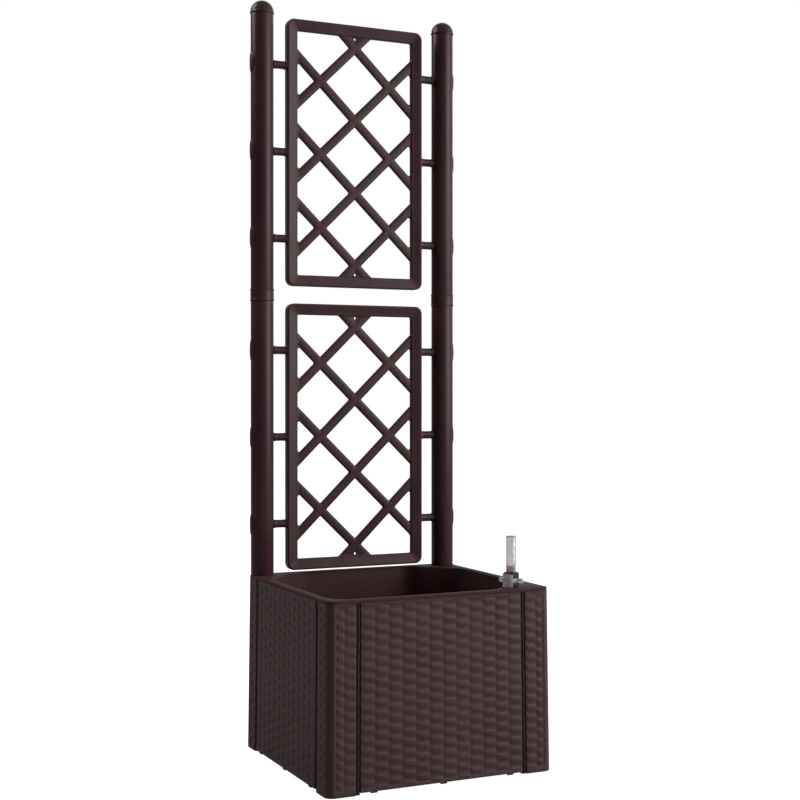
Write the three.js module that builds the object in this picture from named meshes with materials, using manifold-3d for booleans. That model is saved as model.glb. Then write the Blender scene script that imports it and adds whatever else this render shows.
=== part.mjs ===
// Square self-watering planter with a tall trellis at its back edge.
// Millimetres, +Z up, origin on the floor under the middle of the box, the front faces -Y.
// The box is four wall panels tongued into four corner pieces. A soil liner hangs from its rim above a
// water tray. Two jointed posts stand in the back corners and carry two lattice panels, held by pegs.
import * as THREE from "three";
import { mergeVertices } from "three/addons/utils/BufferGeometryUtils.js";
import Module from "manifold-3d";

const wasm = await Module();
wasm.setup();

// Driving dimensions
const BOX_WIDTH = 430; // outside, at the floor
const BOX_HEIGHT = 328; // floor to the top of the rim
const BOX_TAPER = 0.016; // share of its width that the box loses between floor and rim
const TOTAL_HEIGHT = 1422; // floor to the top of the post caps
const CLEARANCE = 0.3; // gap between pieces that touch

const SKIN = 3.2; // corner piece wall
const WALL = 3; // wall panel thickness
const EDGE_RADIUS = 16; // outer radius of the vertical box edges
const CORNER_LEG = 51.5; // how far a corner piece's woven face runs from the edge
const JOINT_WIDTH = 9; // sunk strip between a corner piece and a wall
const JOINT_DEPTH = 2.4; // how far the strip lies under the faces
const RIB_WIDTH = 1.2; // thin rib along the middle of the strip
const RIB_DROP = 1; // how far the rib stays under the faces
const TONGUE = 2.5; // thickness of the tongue on a wall's end
const LIP = 2.2; // thickness of a corner piece's inner lip
const WEAVE_COLUMNS = 12; // columns of the woven pattern across a wall
const WEAVE_GROOVE = 1.2; // depth of the line between two columns
const FOOT_DROP = 4; // how far the corner pieces reach under the walls
const FOOT_PLATE = 4; // floor plate in a corner piece, which carries the tray

const RIM_PLATE = 3; // thickness of the liner's rim
const RIM_BAND = 5.6; // height of the rim's turned-down edge
const RIM_WIDTH = 16.5; // from the outer face to the pot's opening
const PLATE_LEG = 84; // leg of the flat plates across all but the front left corner of the opening
const POT_WALL = 2.5;
const POT_BOTTOM = 60; // height of the underside of the pot's bottom
const POT_DRAFT = 0.078; // share of its width that the pot loses down to its bottom
const POT_ROUND = 35; // rounding of the corners of the opening

const TRAY_HEIGHT = 71;
const TRAY_WALL = 3;
const WICK_RADIUS = 20;
const WICK_OFFSET = 0.245; // place of the wick cups, as a share of the box width

const POST_RADIUS = 21.7;
const POST_WALL = 2.1;
const SPIGOT_WALL = 2.2;
const FOOT_SPIGOT_RADIUS = 15.5; // the part of a post's spigot that goes down into the corner piece
const FOOT_SPIGOT_DEPTH = 121; // and how deep it goes
const SPIGOT_RISE = 50; // how far a spigot reaches up into the post
const COUPLING_HEIGHT = 23.5;
const COUPLING_SHARE = 0.488; // where the coupling sits between the rim and the caps
const COUPLING_LIP = 1.1; // how far its two lips stand out
const CAP_HEIGHT = 25;
const CAP_BRIM = 1.2; // how far the brim stands out from the post
const CAP_BRIM_HEIGHT = 3.5;
const CAP_STEP = 0.7; // from the brim in to the dome
const CAP_PLUG = 27;

const STUB_LENGTH = 26.8; // from the post's surface to the lattice panel
const STUB_RADIUS = 7.8;
const STUB_FLARE = 1.1;
const BAR_WIDTH = 21.5; // frame bars of a lattice panel
const BAR_THICKNESS = 19;
const BAR_SLOPE = 3.5; // how much thinner a bar's face gets toward the middle of the panel
const PANEL_ROUND = 14;
const PANEL_END_ROOM = 7.9; // how much shorter a panel is than its post section
const PANEL_LIFT_LOWER = 1.5; // how far a panel's middle lies over the middle of its post section
const PANEL_LIFT_UPPER = 2;
const SLAT_WIDTH = 17.6;
const SLAT_THICKNESS = 8.8;
const SLAT_EDGE = 7.2; // a slat's thickness at its edges
const LATTICE_OVER = 6.4; // how much wider four half diamonds are than the panel
const LATTICE_SHORT = 15.6; // how much shorter seven half diamonds are than the panel
const GUSSET_THICKNESS = 6.6; // filled ends of a panel
const HANG_HOLE_RADIUS = 2.9; // round hole through each filled end of a panel
const HANG_HOLE_IN = 25.4; // from the panel's end to the hole's middle
const PEG_SHARE = 0.324; // place of the end pegs, as a share of the panel height
const PEG_RADIUS = 4;
const PEG_HEAD_THICKNESS = 1.8;
const PEG_HEAD_HEIGHT = 40;
const PEG_HEAD_WIDTH = 26;

const GAUGE_FROM_SIDE = 64; // gauge axis from the box's right edge line
const GAUGE_FROM_FRONT = 37; // and from its front edge line
const GAUGE_HEAD_RADIUS = 14;
const GAUGE_BORE = 9.4; // inside radius of the float's guide tube
const GAUGE_TUBE_RADIUS = 9.1;
const GAUGE_TUBE_TOP = 91.5; // height of the clear tube's top over the rim
const GUARD_WALL = 1.1; // curved guard at the front left of the gauge's foot
const GUARD_FROM = -215; // and the directions between which it runs, in degrees
const GUARD_TO = -105;
const WING_TURN = -56; // direction of the wings, in degrees
const FLOAT_RADIUS = 8.4;
const FLOAT_TIP_RADIUS = 7.2;

// Sizes that follow
const HALF = BOX_WIDTH / 2;
const TOP_HALF = HALF * (1 - BOX_TAPER);
const BODY_TOP = BOX_HEIGHT - RIM_BAND - CLEARANCE;
const JOINT_END = CORNER_LEG + JOINT_WIDTH;
const POST_AXIS = TOP_HALF - POST_RADIUS + 0.25;
const POST_FOOT = BOX_HEIGHT + CLEARANCE;
const COUPLING_Z = BOX_HEIGHT + COUPLING_SHARE * (TOTAL_HEIGHT - CAP_HEIGHT - BOX_HEIGHT);
const LOWER_TOP = COUPLING_Z - CLEARANCE;
const UPPER_FOOT = COUPLING_Z + COUPLING_HEIGHT + CLEARANCE;
const CAP_Z = TOTAL_HEIGHT - CAP_HEIGHT;
const UPPER_TOP = CAP_Z - CLEARANCE;
const POST_BORE = POST_RADIUS - POST_WALL;
const SPIGOT_RADIUS = POST_BORE - CLEARANCE;
const SOCKET_Z = BODY_TOP - FOOT_SPIGOT_DEPTH;
const PANEL_WIDTH = 2 * (POST_AXIS - POST_RADIUS - STUB_LENGTH);
const PANEL_HEIGHT = LOWER_TOP - POST_FOOT - PANEL_END_ROOM;
const LOWER_PANEL_Z = (POST_FOOT + LOWER_TOP) / 2 + PANEL_LIFT_LOWER;
const UPPER_PANEL_Z = (UPPER_FOOT + UPPER_TOP) / 2 + PANEL_LIFT_UPPER;
const LATTICE_X = (PANEL_WIDTH + LATTICE_OVER) / 4;
const LATTICE_Z = (PANEL_HEIGHT - LATTICE_SHORT) / 7;
const PEG_BORE = PEG_RADIUS + CLEARANCE;
const GAUGE_X = HALF - GAUGE_FROM_SIDE;
const GAUGE_Y = GAUGE_FROM_FRONT - HALF;
const TRAY_Z = FOOT_PLATE + CLEARANCE;
const ROUND_STEPS = 24;

// A closed geometry as a solid, with its faces turned outward
function solidOf(geometry) {
  const loose = geometry.index ? geometry.toNonIndexed() : geometry;
  const bare = new THREE.BufferGeometry();
  bare.setAttribute("position", loose.getAttribute("position"));
  const merged = mergeVertices(bare, 1e-3);
  const at = merged.getAttribute("position");
  const corners = [];
  const a = new THREE.Vector3();
  const b = new THREE.Vector3();
  const c = new THREE.Vector3();
  let volume = 0;
  for (let i = 0; i < merged.index.count; i += 3) {
    const [p, q, r] = [0, 1, 2].map((k) => merged.index.getX(i + k));
    if (p === q || q === r || r === p) {
      continue;
    }
    corners.push(p, q, r);
    a.fromBufferAttribute(at, p);
    b.fromBufferAttribute(at, q);
    c.fromBufferAttribute(at, r);
    volume += a.dot(b.cross(c));
  }
  if (volume < 0) {
    corners.reverse();
  }
  const mesh = new wasm.Mesh({
    numProp: 3,
    vertProperties: new Float32Array(at.array),
    triVerts: new Uint32Array(corners),
  });
  mesh.merge();
  return new wasm.Manifold(mesh);
}

// A solid as a geometry, flat shaded
function geometryOf(solid) {
  const mesh = solid.getMesh();
  const geometry = new THREE.BufferGeometry();
  const points = new Float32Array(mesh.numVert * 3);
  for (let i = 0; i < mesh.numVert; i += 1) {
    for (let k = 0; k < 3; k += 1) {
      points[3 * i + k] = mesh.vertProperties[mesh.numProp * i + k];
    }
  }
  geometry.setAttribute("position", new THREE.BufferAttribute(points, 3));
  geometry.setIndex(Array.from(mesh.triVerts));
  const flat = geometry.toNonIndexed();
  flat.computeVertexNormals();
  return flat;
}

const join = (...geometries) => geometries.map(solidOf).reduce((sum, s) => sum.add(s));
const cut = (solid, ...geometries) => geometries.reduce((left, g) => left.subtract(solidOf(g)), solid);

// An upright prism over a plan outline
function prism(outline, low, high, holes = []) {
  const shape = new THREE.Shape(outline.map(([x, y]) => new THREE.Vector2(x, y)));
  for (const hole of holes) {
    shape.holes.push(new THREE.Path(hole.map(([x, y]) => new THREE.Vector2(x, y))));
  }
  const geometry = new THREE.ExtrudeGeometry(shape, { depth: high - low, bevelEnabled: false });
  return geometry.translate(0, 0, low);
}

// A slab in the plane of the trellis: outline in x and z, front and back faces at the given y
function slab(outline, front, back) {
  return prism(outline, -back, -front).rotateX(Math.PI / 2);
}

// A turned piece about the upright axis, from radius and height pairs
function turned(profile, steps = ROUND_STEPS) {
  const points = profile.map(([r, h]) => new THREE.Vector2(r, h));
  return new THREE.LatheGeometry(points, steps).rotateX(Math.PI / 2);
}

const ring = (outer, inner, low, high, steps) =>
  turned([[inner, low], [outer, low], [outer, high], [inner, high], [inner, low]], steps);

function rod(radius, low, high, steps = ROUND_STEPS) {
  return turned([[0, low], [radius, low], [radius, high], [0, high]], steps);
}

function box(x0, x1, y0, y1, z0, z1) {
  const geometry = new THREE.BoxGeometry(x1 - x0, y1 - y0, z1 - z0);
  return geometry.translate((x0 + x1) / 2, (y0 + y1) / 2, (z0 + z1) / 2);
}

// Points of an arc, from one angle to another in degrees
function arc(x, y, radius, from, to, steps) {
  const points = [];
  for (let i = 0; i <= steps; i += 1) {
    const turn = THREE.MathUtils.degToRad(from + ((to - from) * i) / steps);
    points.push([x + radius * Math.cos(turn), y + radius * Math.sin(turn)]);
  }
  return points;
}

function roundedSquare(half, radius, steps = 4) {
  const c = half - radius;
  return [
    ...arc(c, -c, radius, -90, 0, steps),
    ...arc(c, c, radius, 0, 90, steps),
    ...arc(-c, c, radius, 90, 180, steps),
    ...arc(-c, -c, radius, 180, 270, steps),
  ];
}

// A square, anticlockwise from its back right corner: a corner with a leg is cut at 45 degrees, with
// both ends of the cut rounded, and a corner without one is rounded only
function cutSquare(half, legs, radius, steps = 2) {
  const back = radius * Math.tan(Math.PI / 8);
  const middle = half - radius;
  const points = [];
  legs.forEach((leg, side) => {
    const along = half - leg - back;
    const first = arc(middle, along, radius, 0, 45, steps);
    const second = arc(along, middle, radius, 45, 90, steps);
    const corner = leg > 0 ? [...first, ...second] : arc(middle, middle, radius, 0, 90, 2 * steps);
    const turn = (side * Math.PI) / 2;
    for (const [x, y] of corner) {
      points.push([x * Math.cos(turn) - y * Math.sin(turn), x * Math.sin(turn) + y * Math.cos(turn)]);
    }
  });
  return points;
}

// Draws every point toward the upright axis by a share that depends on its height
function drawnIn(geometry, share) {
  const at = geometry.getAttribute("position");
  for (let i = 0; i < at.count; i += 1) {
    const s = share(at.getZ(i));
    at.setXY(i, at.getX(i) * s, at.getY(i) * s);
  }
  return geometry;
}

const boxShare = (z) => 1 - (BOX_TAPER * z) / BOX_HEIGHT;
const potShare = (z) => 1 - (POT_DRAFT * (BOX_HEIGHT - z)) / (BOX_HEIGHT - POT_BOTTOM);

// Corner piece, modelled at the front left. Outline points give depths from the two outer faces.
const channelFront = JOINT_DEPTH + 2.3;
const channelBack = channelFront + TONGUE + 2 * CLEARANCE;
const channelEnd = CORNER_LEG - 2;
const stripEnd = JOINT_END - CLEARANCE / 2;
const ribStart = CORNER_LEG + (JOINT_WIDTH - RIB_WIDTH) / 2;
const LIP_BACK = channelBack + LIP;
const cornerLeg = [
  [CORNER_LEG, 0],
  [CORNER_LEG, JOINT_DEPTH],
  [ribStart, JOINT_DEPTH],
  [ribStart, RIB_DROP],
  [ribStart + RIB_WIDTH, RIB_DROP],
  [ribStart + RIB_WIDTH, JOINT_DEPTH],
  [stripEnd, JOINT_DEPTH],
  [stripEnd, channelFront],
  [channelEnd, channelFront],
  [channelEnd, channelBack],
  [stripEnd, channelBack],
  [stripEnd, LIP_BACK],
  [channelEnd - 2.4, LIP_BACK],
  [channelEnd - 2.4, SKIN],
];
const flipped = (points) => points.map(([u, v]) => [v, u]).reverse();
const fromFaces = (points) => points.map(([u, v]) => [u - HALF, v - HALF]);
const outerArc = arc(EDGE_RADIUS, EDGE_RADIUS, EDGE_RADIUS, 180, 270, 4);
const innerArc = arc(EDGE_RADIUS, EDGE_RADIUS, EDGE_RADIUS - SKIN, 270, 180, 4);
const cornerOutline = [...outerArc, ...cornerLeg, ...innerArc, ...flipped(cornerLeg)];
const footReach = channelEnd - 4;
const footOutline = [
  ...arc(EDGE_RADIUS, EDGE_RADIUS, EDGE_RADIUS - SKIN / 2, 180, 270, 4),
  [footReach, SKIN / 2],
  [footReach, EDGE_RADIUS],
  [EDGE_RADIUS, footReach],
  [SKIN / 2, footReach],
];
const socketOuter = FOOT_SPIGOT_RADIUS + CLEARANCE + 2.1;
const ribDepth = HALF - (POST_AXIS + socketOuter - 1.2) / boxShare(SOCKET_Z);
const ribMiddle = HALF - POST_AXIS / boxShare((SOCKET_Z + BODY_TOP) / 2);
const ribBox = [
  [SKIN / 2, ribMiddle - 1.5],
  [ribDepth, ribMiddle - 1.5],
  [ribDepth, ribMiddle + 1.5],
  [SKIN / 2, ribMiddle + 1.5],
];
const frontCorner = join(
  drawnIn(prism(fromFaces(cornerOutline), 0, BODY_TOP), boxShare),
  drawnIn(prism(fromFaces(footOutline), 0, FOOT_PLATE), boxShare),
);
// A back corner piece has a socket for a post as well, held by two ribs
const backCorner = cut(
  frontCorner.add(
    join(
      drawnIn(prism(fromFaces(ribBox), SOCKET_Z, BODY_TOP - 2), boxShare),
      drawnIn(prism(fromFaces(flipped(ribBox)), SOCKET_Z, BODY_TOP - 2), boxShare),
      rod(socketOuter, SOCKET_Z, BODY_TOP).translate(-POST_AXIS, -POST_AXIS, 0),
    ),
  ),
  rod(FOOT_SPIGOT_RADIUS + CLEARANCE, SOCKET_Z + 3, BODY_TOP + 10).translate(-POST_AXIS, -POST_AXIS, 0),
);

// Wall panel, modelled at the front. Its two ends step back into tongues that sit in the corner pieces.
const tongueFront = channelFront + CLEARANCE;
const tongueBack = tongueFront + TONGUE;
const wallStart = JOINT_END + CLEARANCE / 2;
const columnWidth = (BOX_WIDTH - 2 * wallStart) / WEAVE_COLUMNS;
const wallEnd = [
  [wallStart + WALL, WALL],
  [wallStart + WALL, tongueBack],
  [channelEnd + CLEARANCE, tongueBack],
  [channelEnd + CLEARANCE, tongueFront],
  [wallStart, tongueFront],
  [wallStart, 0],
];
const wallFace = [];
for (let i = 1; i < WEAVE_COLUMNS; i += 1) {
  const at = wallStart + i * columnWidth;
  wallFace.push([at - 1.5, 0], [at, WEAVE_GROOVE], [at + 1.5, 0]);
}
const wallOtherEnd = wallEnd.map(([t, n]) => [BOX_WIDTH - t, n]).reverse();
const wallOutline = fromFaces([...wallEnd, ...wallFace, ...wallOtherEnd]);
const tab = (x) => box(x - 6, x + 6, 0.4 - HALF, WALL - 0.4 - HALF, FOOT_DROP - 2.5, FOOT_DROP + 1);
const tabPlace = 0.302 * BOX_WIDTH;
const wallPanel = join(
  drawnIn(prism(wallOutline, FOOT_DROP, BODY_TOP), boxShare),
  ...[-tabPlace, 0, tabPlace].map((x) => drawnIn(tab(x), boxShare)),
);

// Soil liner: rim with its turned-down edge, plates across the corners, and the pot that hangs from it
const openingHalf = TOP_HALF - RIM_WIDTH;
const opening = cutSquare(openingHalf, [PLATE_LEG, PLATE_LEG, 0, PLATE_LEG], POT_ROUND);
const outerLeg = PLATE_LEG + (2 - Math.SQRT2) * POT_WALL;
const potOuter = cutSquare(
  openingHalf + POT_WALL,
  [outerLeg, outerLeg, 0, outerLeg],
  POT_ROUND + POT_WALL,
);
const bandInner = roundedSquare(HALF - WALL + 0.4, EDGE_RADIUS - WALL + 0.4);
const wickPlace = WICK_OFFSET * BOX_WIDTH;
const linerShell = join(
  drawnIn(prism(roundedSquare(HALF, EDGE_RADIUS), BOX_HEIGHT - RIM_PLATE, BOX_HEIGHT), boxShare),
  drawnIn(
    prism(roundedSquare(HALF, EDGE_RADIUS), BOX_HEIGHT - RIM_BAND, BOX_HEIGHT - 1, [bandInner]),
    boxShare,
  ),
  drawnIn(prism(potOuter, POT_BOTTOM, BOX_HEIGHT - 1), potShare),
);
const plateHole = FOOT_SPIGOT_RADIUS + CLEARANCE;
const holesInLiner = [];
for (const side of [-1, 1]) {
  holesInLiner.push(
    rod(plateHole, BOX_HEIGHT - 20, BOX_HEIGHT + 5).translate(side * POST_AXIS, POST_AXIS, 0),
  );
  for (const end of [-1, 1]) {
    holesInLiner.push(
      rod(WICK_RADIUS + 0.4, POT_BOTTOM - 5, POT_BOTTOM + 10, 16)
        .translate(side * wickPlace, end * wickPlace, 0),
      rod(4, POT_BOTTOM - 5, POT_BOTTOM + 10, 8)
        .translate(side * wickPlace * 0.4, end * wickPlace * 0.4, 0),
    );
  }
}
const soilLiner = cut(
  linerShell,
  drawnIn(prism(opening, POT_BOTTOM + 3, BOX_HEIGHT + 5), potShare),
  rod(GAUGE_BORE + 1.9, BOX_HEIGHT - 20, BOX_HEIGHT + 5, 16).translate(GAUGE_X, GAUGE_Y, 0),
  ...holesInLiner,
);

// Water tray on the floor plates of the corner pieces
const trayHalf = HALF - LIP_BACK - 0.6;
const trayBody = join(drawnIn(prism(roundedSquare(trayHalf, 14), TRAY_Z, TRAY_Z + TRAY_HEIGHT), boxShare));
const reservoirTray = cut(
  trayBody,
  drawnIn(
    prism(roundedSquare(trayHalf - TRAY_WALL, 11), TRAY_Z + TRAY_WALL, TRAY_Z + TRAY_HEIGHT + 5),
    boxShare,
  ),
);

// Wick cup, hung by its flange in the pot's bottom, with slots that let the water in
const cupTop = POT_BOTTOM + 3 + CLEARANCE;
const cupLow = TRAY_Z + TRAY_WALL + 4.7;
const wickCup = cut(
  join(
    turned(
      [
        [0, cupLow],
        [WICK_RADIUS, cupLow],
        [WICK_RADIUS, cupTop],
        [WICK_RADIUS + 3.5, cupTop],
        [WICK_RADIUS + 3.5, cupTop + 2],
        [WICK_RADIUS - 1.8, cupTop + 2],
        [WICK_RADIUS - 1.8, cupLow + 2],
        [0, cupLow + 2],
      ],
      16,
    ),
  ),
  box(-WICK_RADIUS - 5, WICK_RADIUS + 5, -2.5, 2.5, cupLow + 5, cupTop - 12),
  box(-2.5, 2.5, -WICK_RADIUS - 5, WICK_RADIUS + 5, cupLow + 5, cupTop - 12),
);

// Post parts, modelled about the post's own axis. Pegs cross the post along x.
const pegLine = (length, radius) => rod(radius, -length, length, 8).rotateY(Math.PI / 2);
const pegSteps = [-1, 0, 1].map((k) => k * PEG_SHARE * PANEL_HEIGHT);
const postTube = (low, high, panelZ) =>
  cut(
    join(ring(POST_RADIUS, POST_BORE, low, high)),
    ...pegSteps.map((dz) => pegLine(POST_RADIUS + 5, PEG_BORE).translate(0, 0, panelZ + dz)),
  );
const lowerPost = postTube(POST_FOOT, LOWER_TOP, LOWER_PANEL_Z);
const upperPost = postTube(UPPER_FOOT, UPPER_TOP, UPPER_PANEL_Z);
const postSpigot = turned([
  [FOOT_SPIGOT_RADIUS - SPIGOT_WALL, SOCKET_Z + 3 + CLEARANCE],
  [FOOT_SPIGOT_RADIUS, SOCKET_Z + 3 + CLEARANCE],
  [FOOT_SPIGOT_RADIUS, POST_FOOT],
  [SPIGOT_RADIUS, POST_FOOT],
  [SPIGOT_RADIUS, POST_FOOT + SPIGOT_RISE],
  [SPIGOT_RADIUS - SPIGOT_WALL, POST_FOOT + SPIGOT_RISE],
  [SPIGOT_RADIUS - SPIGOT_WALL, POST_FOOT + 6],
  [FOOT_SPIGOT_RADIUS - SPIGOT_WALL, POST_FOOT + 2.5],
  [FOOT_SPIGOT_RADIUS - SPIGOT_WALL, SOCKET_Z + 3 + CLEARANCE],
]);
const lipOut = POST_RADIUS + COUPLING_LIP;
const ringOut = POST_RADIUS + 0.6;
const couplingTop = COUPLING_Z + COUPLING_HEIGHT;
const couplingReach = 40;
const coupling = turned([
  [SPIGOT_RADIUS - SPIGOT_WALL, COUPLING_Z - couplingReach],
  [SPIGOT_RADIUS, COUPLING_Z - couplingReach],
  [SPIGOT_RADIUS, COUPLING_Z],
  [lipOut, COUPLING_Z],
  [lipOut, COUPLING_Z + 3],
  [ringOut, COUPLING_Z + 4],
  [ringOut, couplingTop - 4],
  [lipOut, couplingTop - 3],
  [lipOut, couplingTop],
  [SPIGOT_RADIUS, couplingTop],
  [SPIGOT_RADIUS, couplingTop + couplingReach],
  [SPIGOT_RADIUS - SPIGOT_WALL, couplingTop + couplingReach],
  [SPIGOT_RADIUS - SPIGOT_WALL, COUPLING_Z - couplingReach],
]);
const brimOut = POST_RADIUS + CAP_BRIM;
const domeRise = CAP_HEIGHT - CAP_BRIM_HEIGHT;
const dome = (radius, rise, low) =>
  arc(0, 0, 1, 0, 90, 6).map(([c, s]) => [radius * c, low + rise * s]);
const postCap = turned([
  [SPIGOT_RADIUS - 2, CAP_Z - CAP_PLUG],
  [SPIGOT_RADIUS, CAP_Z - CAP_PLUG],
  [SPIGOT_RADIUS, CAP_Z],
  [brimOut, CAP_Z],
  [brimOut, CAP_Z + CAP_BRIM_HEIGHT - CAP_STEP],
  ...dome(brimOut - CAP_STEP, domeRise, CAP_Z + CAP_BRIM_HEIGHT),
  [0, TOTAL_HEIGHT - 2.5],
  [SPIGOT_RADIUS - 6, TOTAL_HEIGHT - 7],
  [SPIGOT_RADIUS - 2, CAP_Z + CAP_BRIM_HEIGHT - 2],
  [SPIGOT_RADIUS - 2, CAP_Z - CAP_PLUG],
]);

// Peg: a saddle-shaped head that hugs the post's outer side, on a shank that reaches into the panel
const pegReach = POST_AXIS - PANEL_WIDTH / 2 + BAR_WIDTH * 0.55;
const headOval = arc(0, 0, 1, 0, 337.5, 15).map(([c, s]) => [
  (c * PEG_HEAD_HEIGHT) / 2,
  (s * PEG_HEAD_WIDTH) / 2,
]);
const saddle = POST_RADIUS + CLEARANCE;
const headBlock = prism(headOval, 8, 40).rotateY(Math.PI / 2);
const pegHead = join(ring(saddle + PEG_HEAD_THICKNESS, saddle, -PEG_HEAD_HEIGHT, PEG_HEAD_HEIGHT))
  .intersect(solidOf(headBlock));
const peg = pegHead.add(
  solidOf(rod(PEG_RADIUS, -pegReach, saddle + PEG_HEAD_THICKNESS / 2, 8).rotateY(Math.PI / 2)),
);

// Lattice panel about its own middle: sloped frame, crossing slats, filled ends, stubs to the posts
function rectangle(width, height, radius, steps = 2) {
  const x = width / 2 - radius;
  const z = height / 2 - radius;
  return [
    ...arc(x, -z, radius, -90, 0, steps),
    ...arc(x, z, radius, 0, 90, steps),
    ...arc(-x, z, radius, 90, 180, steps),
    ...arc(-x, -z, radius, 180, 270, steps),
  ];
}

const innerWidth = PANEL_WIDTH - 2 * BAR_WIDTH;
const innerHeight = PANEL_HEIGHT - 2 * BAR_WIDTH;
const flatLip = 3;
const dishShape = new THREE.Shape(
  rectangle(innerWidth + 2 * flatLip, innerHeight + 2 * flatLip, 3).map(([x, z]) => new THREE.Vector2(x, z)),
);
function dish(front) {
  const slope = BAR_WIDTH - flatLip - 2;
  const geometry = new THREE.ExtrudeGeometry(dishShape, {
    depth: 4,
    bevelEnabled: true,
    bevelThickness: BAR_SLOPE,
    bevelSize: slope,
    bevelSegments: 1,
  });
  geometry.rotateX(Math.PI / 2);
  return geometry.translate(0, front ? -BAR_THICKNESS / 2 : BAR_THICKNESS / 2 + 4, 0);
}

const frameOutline = rectangle(PANEL_WIDTH, PANEL_HEIGHT, PANEL_ROUND, 3);
const frameBlock = join(slab(frameOutline, -BAR_THICKNESS / 2, BAR_THICKNESS / 2));
const frame = cut(
  frameBlock,
  slab(rectangle(innerWidth, innerHeight, 3), -BAR_THICKNESS, BAR_THICKNESS),
  dish(true),
  dish(false),
);
const slatAngle = Math.atan2(LATTICE_Z, LATTICE_X);
const slatSection = [
  [-SLAT_WIDTH / 2, -SLAT_EDGE / 2],
  [0, -SLAT_THICKNESS / 2],
  [SLAT_WIDTH / 2, -SLAT_EDGE / 2],
  [SLAT_WIDTH / 2, SLAT_EDGE / 2],
  [0, SLAT_THICKNESS / 2],
  [-SLAT_WIDTH / 2, SLAT_EDGE / 2],
];
const slatLength = innerWidth * 3;
const slat = (lean, z) =>
  prism(slatSection, -slatLength / 2, slatLength / 2)
    .rotateY(lean * (Math.PI / 2 - slatAngle))
    .translate(0, 0, z);
const slatHeights = [-3, -1, 1, 3].map((k) => k * LATTICE_Z);
const slatsLong = join(...slatHeights.flatMap((z) => [slat(1, z), slat(-1, z)]));
const clip = solidOf(slab(rectangle(innerWidth + 4, innerHeight + 4, 4), -BAR_THICKNESS, BAR_THICKNESS));
const slats = slatsLong.intersect(clip);
const endZ = innerHeight / 2 + 1;
const gussetRise = endZ - 3 * LATTICE_Z + SLAT_WIDTH * 0.2;
const gussetHalf = (gussetRise * LATTICE_X) / LATTICE_Z + SLAT_WIDTH * 0.45;
const gussetTip = endZ - gussetRise;
const gusset = (up) =>
  slab(
    [
      [-gussetHalf, up * endZ],
      [gussetHalf, up * endZ],
      [4, up * gussetTip],
      [-4, up * gussetTip],
    ],
    -GUSSET_THICKNESS / 2,
    GUSSET_THICKNESS / 2,
  );
const hangHole = (up) =>
  rod(HANG_HOLE_RADIUS, -BAR_THICKNESS, BAR_THICKNESS, 12)
    .rotateX(Math.PI / 2)
    .translate(0, 0, up * (PANEL_HEIGHT / 2 - HANG_HOLE_IN));
// Small fillets where a slat meets a side bar
const sideX = innerWidth / 2 + 1;
const sideFillets = [];
for (const side of [-1, 1]) {
  for (const z of slatHeights) {
    for (const lean of [-1, 1]) {
      const meet = z + (side * lean * sideX * LATTICE_Z) / LATTICE_X;
      if (Math.abs(meet) > innerHeight / 2 - 12) {
        continue;
      }
      const away = side * lean;
      const reach = SLAT_WIDTH * 0.7;
      const outline = [
        [side * sideX, meet - away * (reach + 9)],
        [side * sideX, meet],
        [side * (sideX - 9), meet - away * reach],
      ];
      sideFillets.push(slab(outline, -SLAT_EDGE / 2, SLAT_EDGE / 2));
    }
  }
}
const stubStart = PANEL_WIDTH / 2 - 5;
const stubEnd = POST_AXIS - 5;
const stubProfile = [
  [0, stubStart],
  [STUB_RADIUS - 0.4, stubStart],
  [STUB_RADIUS + STUB_FLARE, PANEL_WIDTH / 2],
  [STUB_RADIUS, PANEL_WIDTH / 2 + 5],
  [STUB_RADIUS, PANEL_WIDTH / 2 + STUB_LENGTH - 4],
  [STUB_RADIUS + STUB_FLARE, stubEnd],
  [0, stubEnd],
];
const stub = (side, dz) => turned(stubProfile, 12).rotateY((side * Math.PI) / 2).translate(0, 0, dz);
const eachStub = pegSteps.flatMap((dz) => [-1, 1].map((side) => [side, dz]));
const panelBody = frame
  .add(slats)
  .add(join(gusset(-1), gusset(1), ...sideFillets))
  .add(join(...eachStub.map(([side, dz]) => stub(side, dz))));
const boreEnd = POST_AXIS - pegReach - CLEARANCE;
const lattice = cut(
  panelBody,
  hangHole(-1),
  hangHole(1),
  ...[-1, 1].map((side) => rod(saddle, -PANEL_HEIGHT, PANEL_HEIGHT).translate(side * POST_AXIS, 0, 0)),
  ...eachStub.map(([side, dz]) =>
    rod(PEG_BORE, boreEnd, POST_AXIS, 8).rotateY((side * Math.PI) / 2).translate(0, 0, dz),
  ),
);

// Water gauge, modelled about its own axis
const wellLow = TRAY_Z + TRAY_WALL + 4.7;
const wellWall = 1.5;
const headTop = POST_FOOT + 7.7;
const gaugeWell = cut(
  join(
    turned(
      [
        [0, wellLow],
        [GAUGE_BORE + wellWall, wellLow],
        [GAUGE_BORE + wellWall, POST_FOOT],
        [GAUGE_HEAD_RADIUS, POST_FOOT],
        [GAUGE_HEAD_RADIUS, headTop],
        [GAUGE_BORE, headTop],
        [GAUGE_BORE, wellLow + 2],
        [0, wellLow + 2],
      ],
      16,
    ),
  ),
  box(-20, 20, -2, 2, wellLow + 6, wellLow + 50),
  box(-2, 2, -20, 20, wellLow + 6, wellLow + 50),
);
const wingLow = headTop + CLEARANCE;
const wingTop = wingLow + 7.7;
const tubeBore = GAUGE_TUBE_RADIUS - 1.4;
const wing = (side) => box(side * 17.5 - 6.5, side * 17.5 + 6.5, -4, 4, wingLow, wingTop);
const flangeLow = wingTop + CLEARANCE;
const flangeTop = flangeLow + 2.4;
const collarTop = flangeLow + 10.2;
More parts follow.
